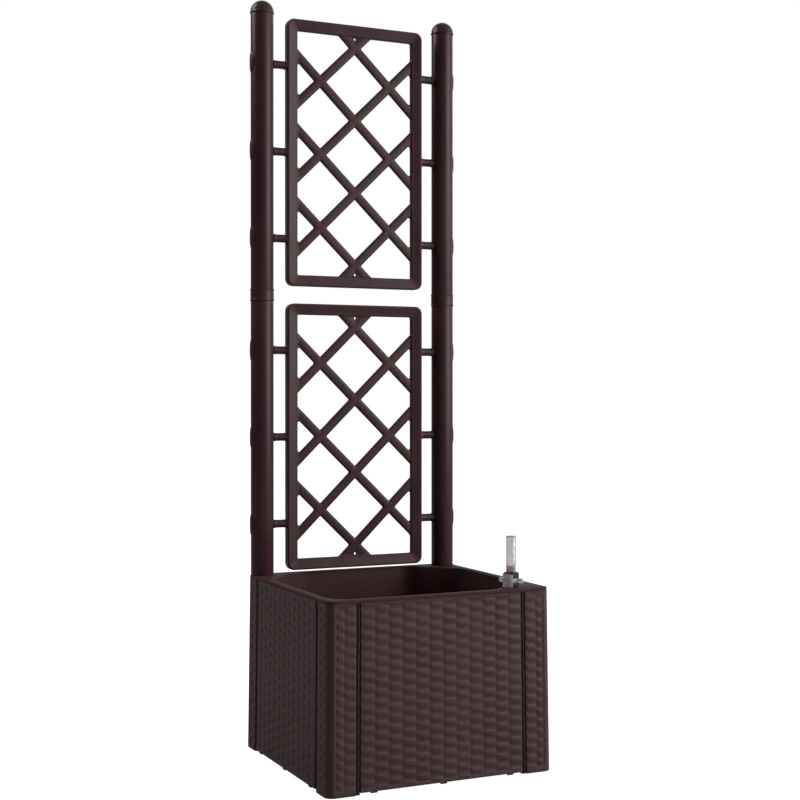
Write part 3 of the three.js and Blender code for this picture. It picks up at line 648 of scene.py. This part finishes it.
def wall_section(z):
    """Closed outline of the front wall at one height."""
    width = 2 * HALF
    pitch = (width - 2 * WALL_START) / COLUMNS
    face = woven_face([(WALL_START + k * pitch, pitch, 10) for k in range(COLUMNS)], z)
    inner_end = WALL_START + WALL_THICKNESS
    left = [
        (WALL_START, TONGUE_FRONT),
        (TONGUE_END, TONGUE_FRONT),
        (TONGUE_END, TONGUE_BACK),
        (inner_end, TONGUE_BACK),
        (inner_end, WALL_THICKNESS),
    ]
    right = [(width - t, depth) for t, depth in left]
    return face + right + list(reversed(left))


def woven_wall():
    """The front wall, with the lock tabs under its lower edge."""
    parts = [loft([box_loop(wall_section(z), z) for z in rows(FOOT_DROP, BODY_TOP, ROW_STEP)])]
    for middle in (HALF - TAB_STEP, HALF, HALF + TAB_STEP):
        start, end = middle - TAB_HALF, middle + TAB_HALF
        tab = [(start, 0.4), (end, 0.4), (end, 2.6), (start, 2.6)]
        parts.append(loft([box_loop(tab, z) for z in (FOOT_DROP - TAB_DROP, FOOT_DROP + 0.5)]))
    return merged(*parts)


def corner_section(z):
    """Closed outline of the front left corner piece at one height."""
    split = EDGE_RADIUS + NARROW_COLUMN
    leg = woven_face([(EDGE_RADIUS, NARROW_COLUMN, 7), (split, CORNER_LEG - split, 10)], z)
    rib_end = RIB_AT + RIB_WIDTH
    leg += [
        (CORNER_LEG + 0.2, GROOVE_DEPTH),
        (RIB_AT, GROOVE_DEPTH),
        (RIB_AT + 0.15, RIB_DROP + 0.15),
        (RIB_AT + 0.35, RIB_DROP),
        (rib_end - 0.35, RIB_DROP),
        (rib_end - 0.15, RIB_DROP + 0.15),
        (rib_end, GROOVE_DEPTH),
        (GROOVE_END, GROOVE_DEPTH),
        (GROOVE_END, TONGUE_FRONT - GAP),
        (TONGUE_END - GAP, TONGUE_FRONT - GAP),
        (TONGUE_END - GAP, TONGUE_BACK + GAP),
        (GROOVE_END, TONGUE_BACK + GAP),
        (GROOVE_END, SLEEVE_BACK),
        (SLEEVE_END, SLEEVE_BACK),
        (SLEEVE_END, CORNER_WALL),
    ]
    round_out = arc(EDGE_RADIUS, EDGE_RADIUS, EDGE_RADIUS, 180, 270, 10)[1:-1]
    round_in = arc(EDGE_RADIUS, EDGE_RADIUS, EDGE_RADIUS - CORNER_WALL, 270, 180, 6)
    other_leg = [(v, u) for u, v in reversed(leg)]
    return round_out + leg + round_in + other_leg


def corner_piece():
    """Woven shell of the front left corner piece with its foot plate, without a socket for a post."""
    heights = rows(0, FOOT_DROP, ROW_STEP)[:-1] + rows(FOOT_DROP, BODY_TOP, ROW_STEP)
    shell = loft([box_loop(corner_section(z), z) for z in heights])
    plate = arc(EDGE_RADIUS, EDGE_RADIUS, EDGE_RADIUS - FOOT_INSET, 180, 270, 8)
    plate += [(FOOT_END, FOOT_INSET), (FOOT_END, EDGE_RADIUS)]
    plate += [(EDGE_RADIUS, FOOT_END), (FOOT_INSET, FOOT_END)]
    foot = loft([box_loop(plate, z) for z in (0.02, FOOT_THICKNESS)])
    return merged(shell, foot)


def post_socket():
    """Round socket for a post and its two ribs, as a front left corner piece would have them."""
    low = BODY_TOP - SOCKET_DEPTH
    floor = low + SOCKET_FLOOR
    profile = [
        (0, low), (SOCKET_RADIUS, low), (SOCKET_RADIUS, BODY_TOP),
        (SOCKET_BORE, BODY_TOP), (SOCKET_BORE, floor), (0, floor),
    ]
    parts = [turned(profile, 32, -POST_AXIS, -POST_AXIS)]
    rib = [(1.6, 20.9), (6.1, 20.9), (6.1, 23.9), (1.6, 23.9)]
    for outline in (rib, [(v, u) for u, v in rib]):
        parts.append(loft([box_loop(outline, z) for z in (low, BODY_TOP - 2)]))
    return merged(*parts)


def make_box():
    shell = corner_piece()
    back_shell = merged(shell, post_socket())
    wall_points, wall_faces = woven_wall()
    order = [
        ("front_left", "front"), ("front_right", "right"),
        ("back_right", "back"), ("back_left", "left"),
    ]
    for turns, (corner, wall) in enumerate(order):
        corner_points, corner_faces = shell if turns < 2 else back_shell
        make_piece(
            "corner_" + corner + "_woven", quarter(corner_points, turns), corner_faces,
            corner_finish, stands_for=["corner_" + corner], smooth=50,
        )
        make_piece(
            wall + "_wall_woven", quarter(wall_points, turns), wall_faces,
            woven_finish, stands_for=[wall + "_wall"], smooth=50,
        )


# ---------------------------------------------------------------- soil liner
def ray_to(outline, angle):
    """How far from the middle a ray meets a closed plan outline."""
    dx, dy = math.cos(angle), math.sin(angle)
    farthest = None
    count = len(outline)
    for i in range(count):
        x1, y1 = outline[i]
        x2, y2 = outline[(i + 1) % count]
        ex, ey = x2 - x1, y2 - y1
        det = ex * dy - ey * dx
        if abs(det) < 1e-12:
            continue
        t = (ex * y1 - ey * x1) / det
        s = (dx * y1 - dy * x1) / det
        if t > 0 and -1e-9 <= s <= 1 + 1e-9 and (farthest is None or t > farthest):
            farthest = t
    return farthest


def rim_plan(inset):
    """Outer outline of the rim, drawn in all round."""
    half = TOP_HALF - inset
    return rounded_rectangle(half, half, max(1.0, EDGE_RADIUS - inset), 10)


def pot_plan(grow, steps=6):
    """Inner outline of the pot, grown all round: cut at 45 degrees at each corner but the front left."""
    half = TOP_HALF - RIM_WIDTH + grow
    leg = PLATE_LEG + (2 - math.sqrt(2)) * grow
    radius = POT_ROUND + grow
    middle = half - radius
    along = half - leg - radius * math.tan(math.pi / 8)
    out = []
    for side in range(4):
        a = math.radians(90 * side)
        corner = arc(middle, along, radius, 0, 45, steps) + arc(along, middle, radius, 45, 90, steps)
        if side == 2:
            corner = arc(middle, middle, radius, 0, 90, 2 * steps)
        for x, y in corner:
            out.append((x * math.cos(a) - y * math.sin(a), x * math.sin(a) + y * math.cos(a)))
    return out


def plan_angles():
    """Directions from the middle to each corner of both outlines, and 96 even ones between them."""
    outer = rounded_rectangle(TOP_HALF, TOP_HALF, EDGE_RADIUS * (1 - TAPER), 10)
    angles = {round(math.atan2(y, x), 6) for x, y in outer + pot_plan(0)}
    angles |= {round(-math.pi + 2 * math.pi * i / 96, 6) for i in range(96)}
    kept = []
    for a in sorted(angles):
        if not kept or a - kept[-1] > 0.0015:
            kept.append(a)
    return kept


def plan_loop(outline, angles, z, share=1.0):
    """The outline at a height as points at the given angles, drawn in to a share of its size."""
    out = []
    for a in angles:
        r = ray_to(outline, a) * share
        out.append((r * math.cos(a), r * math.sin(a), z))
    return out


def pot_share(z):
    """How wide the pot is at a height, as a share of its width at the rim."""
    return 1 - POT_DRAFT * (RIM_Z - z) / (RIM_Z - POT_BOTTOM)


def soil_liner():
    """The rim and the pot, as an upper and an under skin that meet under the rim's edge."""
    angles = plan_angles()
    low = RIM_Z - RIM_BAND
    band = [(2.6, low), (0.5, low), (0.0, low + 0.5), (0.0, RIM_Z - 1.6), (0.3, RIM_Z - 0.7)]
    band += [(0.9, RIM_Z - 0.2), (1.8, RIM_Z)]
    lip = [(2.4, RIM_Z), (1.2, RIM_Z - 0.3), (0.35, RIM_Z - 1.2), (0.0, RIM_Z - 2.6)]
    pot = [(0.0, z) for z in (300, 260, 200, 140, 90, 72)]
    pot += [(-1.2, POT_FLOOR + 3.5), (-4.0, POT_FLOOR + 0.6), (-6.5, POT_FLOOR)]
    upper = [plan_loop(rim_plan(inset), angles, z) for inset, z in band]
    upper += [plan_loop(pot_plan(grow), angles, z) for grow, z in lip]
    upper += [plan_loop(pot_plan(grow), angles, z, pot_share(z)) for grow, z in pot]
    upper.append([(0.5 * x, 0.5 * y, POT_FLOOR) for x, y, z in upper[-1]])

    ledge = RIM_Z - 3.0
    outside = [(POT_WALL, ledge - 1.2), (POT_WALL, 140)]
    outside += [(POT_WALL - 0.6, POT_BOTTOM + 4), (POT_WALL - 4, POT_BOTTOM)]
    under = [plan_loop(rim_plan(2.6), angles, z) for z in (low, ledge)]
    under.append(plan_loop(pot_plan(POT_WALL + 1.2), angles, ledge))
    under += [plan_loop(pot_plan(grow), angles, z, pot_share(z)) for grow, z in outside]
    return merged(dish(upper), dish(under))


def make_liner():
    points, faces = soil_liner()
    liner = make_piece(
        "soil_liner_pot", points, faces, liner_finish, stands_for=["soil_liner"],
    )
    through_rim = (RIM_Z - 18, RIM_Z + 7)
    through_floor = (POT_BOTTOM - 5, POT_BOTTOM + 10)
    holes = [(GAUGE_X, GAUGE_Y, WELL_RADIUS + 0.4, *through_rim)]
    for side in (-1, 1):
        holes.append((side * POST_AXIS, POST_AXIS, SOCKET_BORE, *through_rim))
        for end in (-1, 1):
            holes.append((side * CUP_AT, end * CUP_AT, CUP_HOLE, *through_floor))
            holes.append((side * DRAIN_AT, end * DRAIN_AT, DRAIN_HOLE, *through_floor))
    cut_round(liner, holes)
    shade(liner.data, SMOOTH_ANGLE)


# ---------------------------------------------------------------- posts and pegs
def tube_profile(low, high):
    shape = [(POST_BORE, low), (POST_RADIUS, low), (POST_RADIUS, high), (POST_BORE, high)]
    return softened(shape, {1: 0.5, 2: 0.5})


def coupling_profile():
    """Band with a lip at both ends, on a plug that reaches into the tubes below and above it."""
    low, high = COUPLING_Z, COUPLING_Z + COUPLING_HEIGHT
    lip, ring = POST_RADIUS + 1.1, POST_RADIUS + 0.6
    bore, plug = SPIGOT_RADIUS - 2.2, SPIGOT_RADIUS
    shape = [
        (bore, low - COUPLING_PLUG), (plug, low - COUPLING_PLUG),
        (plug, low), (lip, low), (lip, low + 3), (ring, low + 4),
        (ring, high - 4), (lip, high - 3), (lip, high), (plug, high),
        (plug, high + COUPLING_PLUG), (bore, high + COUPLING_PLUG),
    ]
    return softened(shape, {3: 0.6, 4: 0.5, 5: 0.5, 6: 0.5, 7: 0.5, 8: 0.6})


def cap_profile():
    """Domed cap with a thin brim and a plug that sits in the post."""
    brim, dome = POST_RADIUS + BRIM_REACH, POST_RADIUS + BRIM_REACH - 0.7
    bore, plug = SPIGOT_RADIUS - 2, SPIGOT_RADIUS
    middle = 0.4
    shape = [(bore, CAP_Z - CAP_PLUG), (plug, CAP_Z - CAP_PLUG), (plug, CAP_Z), (dome, CAP_Z)]
    shape += [(brim - 0.2, CAP_Z + 0.2), (brim, CAP_Z + 0.7), (brim, CAP_Z + 2.2), (brim - 0.2, CAP_Z + 2.8)]
    for i in range(13):
        a = math.radians(90 * i / 12)
        radius = dome * math.cos(a) if i < 12 else middle
        shape.append((radius, CAP_Z + BRIM_HEIGHT + (CAP_HEIGHT - BRIM_HEIGHT) * math.sin(a)))
    shape += [(middle, CAP_Z + 22.5), (SPIGOT_RADIUS - 6, CAP_Z + 17.6), (bore, CAP_Z + 1.5)]
    return shape


def saddle_head(side):
    """Low oval pad that hugs the post's outer side, thickest in the middle."""
    base = POST_RADIUS + GAP
    outer_rings, inner_rings = [], []
    for i in range(9):
        share = max(i / 8, 1e-4)
        crown = base + HEAD_EDGE + HEAD_CROWN * (1 - share ** 2.4) ** 0.55
        for rings, radius in ((outer_rings, crown), (inner_rings, base)):
            ring = []
            for j in range(40):
                a = 2 * math.pi * j / 40
                turn = HEAD_HALF_WIDTH * share * math.cos(a) / base
                z = HEAD_HALF_HEIGHT * share * math.sin(a)
                ring.append((side * radius * math.cos(turn), radius * math.sin(turn), z))
            rings.append(ring)
    return loft(outer_rings + list(reversed(inner_rings)))


def shank(side):
    """The peg's round pin, from its head through the post and the stub into the panel's bar."""
    tip = POST_AXIS - PANEL_WIDTH / 2 + 0.55 * BAR_WIDTH
    top = POST_RADIUS + 0.6
    profile = [(0, -tip), (SHANK_RADIUS - 0.8, -tip), (SHANK_RADIUS, 1 - tip), (SHANK_RADIUS, top), (0, top)]
    points, faces = turned(profile, 24)
    return [(side * z, y, x) for x, y, z in points], faces


def make_posts():
    upper_low = COUPLING_Z + COUPLING_HEIGHT + GAP
    tubes = [
        ("lower", turned(tube_profile(RIM_Z + GAP, COUPLING_Z - GAP), 72)),
        ("upper", turned(tube_profile(upper_low, CAP_Z - GAP), 72)),
    ]
    for name, side in (("left", -1), ("right", 1)):
        x = side * POST_AXIS
        for level, (points, faces) in tubes:
            make_piece(
                "post_%s_%s_tube" % (level, name), shifted(points, x, POST_AXIS), faces,
                post_finish, stands_for=["post_%s_%s" % (level, name)],
            )
        points, faces = turned(coupling_profile(), 72, x, POST_AXIS)
        make_piece(
            "post_coupling_%s_ring" % name, points, faces,
            post_finish, stands_for=["post_coupling_" + name],
        )
        points, faces = turned(cap_profile(), 72, x, POST_AXIS)
        make_piece(
            "post_cap_%s_dome" % name, points, faces,
            post_finish, stands_for=["post_cap_" + name],
        )
        points, faces = merged(saddle_head(side), shank(side))
        for level, middle in (("lower", LOWER_PANEL_Z), ("upper", UPPER_PANEL_Z)):
            for i in range(3):
                node = "peg_%s_%s_%d" % (level, name, i + 1)
                make_piece(
                    node + "_saddle", shifted(points, x, POST_AXIS, middle + (i - 1) * PEG_STEP), faces,
                    lattice_finish, stands_for=[node],
                )


# ---------------------------------------------------------------- lattice panels
def panel_frame():
    """Frame bars swept round the panel. The faces slope from a thick outer edge to a thin flat lip."""
    half = BAR_THICKNESS / 2
    lip = half - BAR_SLOPE
    section = [
        (0.0, -half + 1.8), (0.6, -half + 0.6), (2.0, -half), (BAR_WIDTH - 4.0, -lip - 0.1),
        (BAR_WIDTH - 3.4, -lip), (BAR_WIDTH - 0.7, -lip), (BAR_WIDTH, -lip + 0.7),
    ]
    section += [(depth, -y) for depth, y in reversed(section)]
    loops = []
    for depth, y in section:
        radius = max(0.8, PANEL_ROUND - depth * 0.55)
        outline = rounded_rectangle(PANEL_WIDTH / 2 - depth, PANEL_HEIGHT / 2 - depth, radius, 6)
        loops.append([(x, y, z) for x, z in outline])
    return loft(loops, ring=True)


def slat_bar(lean, middle):
    """One crossing slat with a low ridge along it, from inside one frame bar to inside another."""
    w, edge, crown = SLAT_WIDTH / 2, SLAT_EDGE, SLAT_CROWN
    section = [(-w, -edge + 1.4), (-w + 1.2, -edge), (-4, -crown)]
    section += [(4, -crown), (w - 1.2, -edge), (w, -edge + 1.4)]
    section += [(a, -b) for a, b in reversed(section)]
    angle = math.atan2(LATTICE_Z, LATTICE_X)
    dx, dz = math.cos(angle), lean * math.sin(angle)
    loops = []
    for end in (-1, 1):
        run_to_side = (INNER_WIDTH / 2 + SLAT_TUCK) / dx
        run_to_end = (INNER_HEIGHT / 2 + SLAT_TUCK - end * lean * middle) / abs(dz)
        run = end * min(run_to_side, run_to_end)
        loops.append([(run * dx - a * dz, b, middle + run * dz + a * dx) for a, b in section])
    return loft(loops)


def flat_plate(outline, half):
    return loft([[(x, y, z) for x, z in outline] for y in (-half, half)])


def gusset(up):
    """The plate that fills the half diamond at the panel's upper or lower end."""
    end = INNER_HEIGHT / 2 + 2
    rise = end - 3 * LATTICE_Z + 3.5
    spread_at_end = rise * LATTICE_X / LATTICE_Z + 7.9
    tip = up * (end - rise)
    outline = [(-spread_at_end, up * end), (spread_at_end, up * end), (5, tip), (-5, tip)]
    return flat_plate(outline, GUSSET_THICKNESS / 2)


def side_webs(heights):
    """The small plates that soften the corners between the slats and the side bars."""
    edge = INNER_WIDTH / 2 + 2
    parts = []
    for side in (-1, 1):
        for z in heights:
            for lean in (-1, 1):
                away = side * lean
                meet = z + away * edge * LATTICE_Z / LATTICE_X
                if abs(meet) > INNER_HEIGHT / 2 - 6:
                    continue
                outline = [(edge, 24), (edge, 0), (edge - 13, 15), (edge - 7, 18)]
                parts.append(flat_plate([(side * x, meet - away * drop) for x, drop in outline], WEB_HALF))
    return parts


def stub(side, dz):
    """Round stub from the panel's edge to the post, flared at both ends, with a saddle-shaped end."""
    hug = POST_RADIUS + GAP
    start, end = PANEL_WIDTH / 2, POST_AXIS - hug
    rings = [(start - 7, 7.0), (start - 1.5, 8.0), (start, 8.9)]
    rings += [(start + 1.2, 8.6), (start + 3.5, 8.0), (start + 7, 7.7)]
    straight = len(rings)
    rings += [(end - 7, 7.7), (end - 3.5, 8.0), (end - 1.2, 8.6), (end, 8.9)]
    loops = []
    for i, (x, radius) in enumerate(rings):
        follow = max(0.0, (i - straight + 1) / (len(rings) - straight))
        loop = []
        for j in range(28):
            a = 2 * math.pi * j / 28
            y, z = radius * math.cos(a), radius * math.sin(a)
            saddle = hug - math.sqrt(hug * hug - y * y)
            loop.append((side * (x + saddle * follow), y, z + dz))
        loops.append(loop)
    return loft(loops)


def panel_parts():
    parts = [panel_frame()]
    heights = [k * LATTICE_Z for k in (-3, -1, 1, 3)]
    for z in heights:
        parts += [slat_bar(1, z), slat_bar(-1, z)]
    parts += [gusset(-1), gusset(1)]
    parts += side_webs(heights)
    for dz in (-PEG_STEP, 0, PEG_STEP):
        parts += [stub(-1, dz), stub(1, dz)]
    return merged(*parts)


def make_panels():
    points, faces = panel_parts()
    blank = bpy.data.objects.new("lattice_blank", closed_mesh("lattice_panel", points, faces))
    bpy.context.scene.collection.objects.link(blank)
    change = blank.modifiers.new("one body", "REMESH")
    change.mode = "VOXEL"
    change.voxel_size = VOXEL * MM
    soft = blank.modifiers.new("soft edges", "SMOOTH")
    soft.factor = 0.5
    soft.iterations = 3
    keep_result(blank)
    holes = [(0, up * HANG_HOLE_Z, HANG_HOLE_RADIUS, -30, 30) for up in (-1, 1)]
    cut_round(blank, holes, lying=True, solver="MANIFOLD")
    whole = blank.data
    bpy.data.objects.remove(blank)
    for level, middle in (("lower", LOWER_PANEL_Z), ("upper", UPPER_PANEL_Z)):
        panel = whole.copy()
        panel.transform(Matrix.Translation((0, POST_AXIS * MM, middle * MM)))
        add_piece(
            "trellis_%s_lattice" % level, panel, lattice_finish,
            stands_for=["trellis_" + level], smooth=60,
        )


# ---------------------------------------------------------------- water gauge
def make_well():
    top = GAUGE_BASE + HEAD_HEIGHT
    profile = softened([
        (0, WELL_BOTTOM), (WELL_RADIUS, WELL_BOTTOM), (WELL_RADIUS, GAUGE_BASE), (GAUGE_RADIUS, GAUGE_BASE),
        (GAUGE_RADIUS, top), (GAUGE_BORE, top), (GAUGE_BORE, WELL_FLOOR), (0, WELL_FLOOR),
    ], {3: 0.6, 4: 0.9, 5: 0.4})
    points, faces = turned(profile, 48, GAUGE_X, GAUGE_Y)
    make_piece("gauge_well_head", points, faces, black_finish, stands_for=["gauge_well"])


def highlight_wall(inner, low, high):
    """Curved milky wall about the gauge's axis, at its front left once the ring is turned into place: a
    painted highlight, a pale sheet that stands in for the shine on the black head and collar there.
    """
    loops = []
    for z, shrink in ((low, 0.25), (low + 0.3, 0.0), (high - 0.3, 0.0), (high, 0.25)):
        outline = arc(0, 0, HIGHLIGHT_WALL_RADIUS - shrink, HIGHLIGHT_WALL_FROM, HIGHLIGHT_WALL_TO, 16)
        outline += arc(0, 0, inner, HIGHLIGHT_WALL_TO, HIGHLIGHT_WALL_FROM, 16)
        loops.append([(x, y, z) for x, y in outline])
    return loft(loops)


def wing(side):
    """Flat grip with a round end on one side of the ring."""
    end, half = WING_LENGTH, 4.0
    outline = [(end - 1.4, -half + 0.4), (end - 0.4, -2.4), (end, 0)]
    outline += [(end - 0.4, 2.4), (end - 1.4, half - 0.4)]
    loops = []
    for rise, shrink in ((0, 0.4), (0.6, 0.0), (6.9, 0.0), (7.6, 0.6)):
        narrow = 1 - shrink * 0.12
        loop = [(side * WING_FROM, -half * narrow)]
        loop += [(side * (x - shrink), y * narrow) for x, y in outline]
        loop.append((side * WING_FROM, half * narrow))
        loops.append([(x, y, WING_RING_Z + rise) for x, y in loop])
    return loft(loops)


def make_wing_ring():
    low, high = WING_RING_Z, WING_RING_Z + HEAD_HEIGHT
    outer = GAUGE_RADIUS - GAP
    profile = softened([(TUBE_BORE, low), (outer, low), (outer, high), (TUBE_BORE, high)], {1: 0.7, 2: 0.9})
    points, faces = merged(
        turned(profile, 48), wing(-1), wing(1),
        # Two curved milky walls at the front left: a painted highlight over the black head and collar.
        highlight_wall(14.3, GAUGE_BASE, GAUGE_BASE + 23.0), highlight_wall(12.0, low + 1, high - 1),
    )
    turn = Matrix.Rotation(math.radians(WING_TURN), 3, "Z")
    points = shifted([turn @ Vector(p) for p in points], GAUGE_X, GAUGE_Y)
    make_piece(
        "gauge_wing_ring_clear", points, faces, milky_finish, stands_for=["gauge_wing_ring"],
    )


def make_collar():
    low, high, step = COLLAR_Z, COLLAR_Z + COLLAR_HEIGHT, COLLAR_Z + FLANGE_HEIGHT + GAP
    profile = softened([
        (COLLAR_BORE, low), (GAUGE_RADIUS, low), (GAUGE_RADIUS, high - 2), (COLLAR_BORE, high),
        (GAUGE_BORE, high), (GAUGE_BORE, step), (COLLAR_BORE, step),
    ], {1: 0.5, 2: 0.8, 3: 0.8, 4: 0.4})
    points, faces = turned(profile, 48, GAUGE_X, GAUGE_Y)
    make_piece("gauge_collar", points, faces, black_finish, stands_for=["gauge_collar_ring"])


def make_tube():
    """Clear tube, closed at its top, with a flange that the collar holds down."""
    low, top = COLLAR_Z, TUBE_TOP
    profile = [
        (TUBE_BORE, low), (FLANGE_RADIUS, low), (FLANGE_RADIUS, low + FLANGE_HEIGHT),
        (TUBE_RADIUS, low + FLANGE_HEIGHT), (TUBE_RADIUS, top - 1.0), (TUBE_RADIUS - 0.3, top - 0.3),
        (TUBE_RADIUS - 1.0, top), (0.3, top), (0.3, top - 2), (TUBE_BORE - 1.0, top - 2),
        (TUBE_BORE - 0.3, top - 2.3), (TUBE_BORE, top - 3),
    ]
    points, faces = turned(profile, 48, GAUGE_X, GAUGE_Y)
    make_piece("gauge_clear_tube", points, faces, clear_finish, stands_for=["gauge_tube"])


def make_float():
    """Float body in the well, and its rod with the tip that shows in the clear tube."""
    low, tip = WELL_FLOOR + GAP, FLOAT_TIP_Z
    profile = [
        (0, low), (FLOAT_RADIUS - 0.4, low), (FLOAT_RADIUS, low + 0.5), (FLOAT_RADIUS, FLOAT_TOP),
        (FLOAT_RADIUS - 0.6, FLOAT_TOP + 0.8), (FLOAT_ROD, FLOAT_TOP + 4.5), (FLOAT_ROD, tip),
        (FLOAT_TIP_RADIUS - 1.3, tip + 6), (FLOAT_TIP_RADIUS, tip + 15), (FLOAT_TIP_RADIUS, tip + 19.6),
        (FLOAT_TIP_RADIUS - 0.3, tip + 20.6), (FLOAT_TIP_RADIUS - 1.1, tip + 21), (0, tip + 21),
    ]
    points, faces = turned(profile, 40, GAUGE_X, GAUGE_Y)
    make_piece(
        "gauge_float_tip", points, faces, float_finish,
        body="float", stands_for=["gauge_float"],
    )


# ---------------------------------------------------------------- pieces kept from the frame
def finish_kept_nodes():
    """Finishes and softens the tray, the cups and the post sockets, which hardly show."""
    looks = {"reservoir_tray": tray_finish}
    for side in ("left", "right"):
        looks["post_socket_" + side] = post_finish
        for along in ("front", "back"):
            looks["wick_cup_%s_%s" % (along, side)] = tray_finish
    for name, finish in looks.items():
        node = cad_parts[name]
        if not node.material_slots:
            node.data.materials.append(finish)
        for place in node.material_slots:
            place.material = finish
        soften = node.modifiers.new("soft edges", "BEVEL")
        soften.width = 0.5 * MM
        soften.segments = 2
        soften.limit_method = "ANGLE"
        soften.angle_limit = math.radians(50)


# ---------------------------------------------------------------- light and floor
def area_light(name, place, aim, size, energy):
    """Square soft light in metres and watts."""
    lamp = bpy.data.lights.new(name, "AREA")
    lamp.shape = "RECTANGLE"
    lamp.size = size
    lamp.size_y = size
    lamp.energy = energy
    light = bpy.data.objects.new(name, lamp)
    light.location = place
    light.rotation_euler = (Vector(aim) - Vector(place)).to_track_quat("-Z", "Y").to_euler()
    bpy.context.scene.collection.objects.link(light)


def seen_or_seen_through(nodes, links):
    """1 for what the camera sees straight or through the clear tube, 0 for what only lights the planter."""
    ray = nodes.new("ShaderNodeLightPath").outputs
    return worked_out(nodes, links, "MAXIMUM", ray["Is Camera Ray"], ray["Is Transmission Ray"])


def light_world():
    """Bright from the right, dark from the left, dim from above, and white where it is seen."""
    world = bpy.data.worlds.new("studio")
    bpy.context.scene.world = world
    world.use_nodes = True
    nodes, links = world.node_tree.nodes, world.node_tree.links
    place = nodes.new("ShaderNodeTexCoord").outputs["Generated"]
    toward = nodes.new("ShaderNodeVectorMath")
    toward.operation = "DOT_PRODUCT"
    toward.inputs[1].default_value = Vector((-0.978, -0.208, 0)).normalized()
    links.new(place, toward.inputs[0])
    side = spread(nodes, links, toward.outputs["Value"], -0.15, 0.2, 1.0, 0.0, smooth=True)
    above = spread(nodes, links, upward(nodes, links, place), 0.6, 0.95, smooth=True)
    lighting = mixed(nodes, links, above, side, 0.3)
    shown = mixed(nodes, links, seen_or_seen_through(nodes, links), lighting, 1.0)
    sky = nodes["Background"]
    sky.inputs["Color"].default_value = (1, 1, 1, 1)
    links.new(shown, sky.inputs["Strength"])


def lay_floor(half=30):
    """Pale floor, a square in metres, that is white where it is seen."""
    mesh = bpy.data.meshes.new("floor")
    corners = [(-half, -half, 0), (half, -half, 0), (half, half, 0), (-half, half, 0)]
    mesh.from_pydata(corners, [], [(0, 1, 2, 3)])
    floor = bpy.data.objects.new("floor", mesh)
    bpy.context.scene.collection.objects.link(floor)
    pale, nodes, links, shader = new_finish("pale_floor")
    shader.inputs["Base Color"].default_value = (0.3, 0.3, 0.3, 1)
    shader.inputs["Roughness"].default_value = 0.9
    shader.inputs["Specular IOR Level"].default_value = 0.1
    shader.inputs["Emission Color"].default_value = (1, 1, 1, 1)
    glow = mixed(nodes, links, seen_or_seen_through(nodes, links), 0.1, 1.0)
    links.new(glow, shader.inputs["Emission Strength"])
    mesh.materials.append(pale)


def studio():
    bpy.context.scene.view_settings.view_transform = "Standard"
    light_world()
    area_light("right_light", place=(2.5, -2.2, 1.6), aim=(0, 0, 0.6), size=2.4, energy=130)
    area_light("left_light", place=(-2.0, 1.15, 2.9), aim=(0, 0, 0.4), size=1.6, energy=78)
    lay_floor()


place_camera()
studio()
make_box()
make_liner()
make_posts()
make_panels()
make_well()
make_wing_ring()
make_collar()
make_tube()
make_float()
finish_kept_nodes()
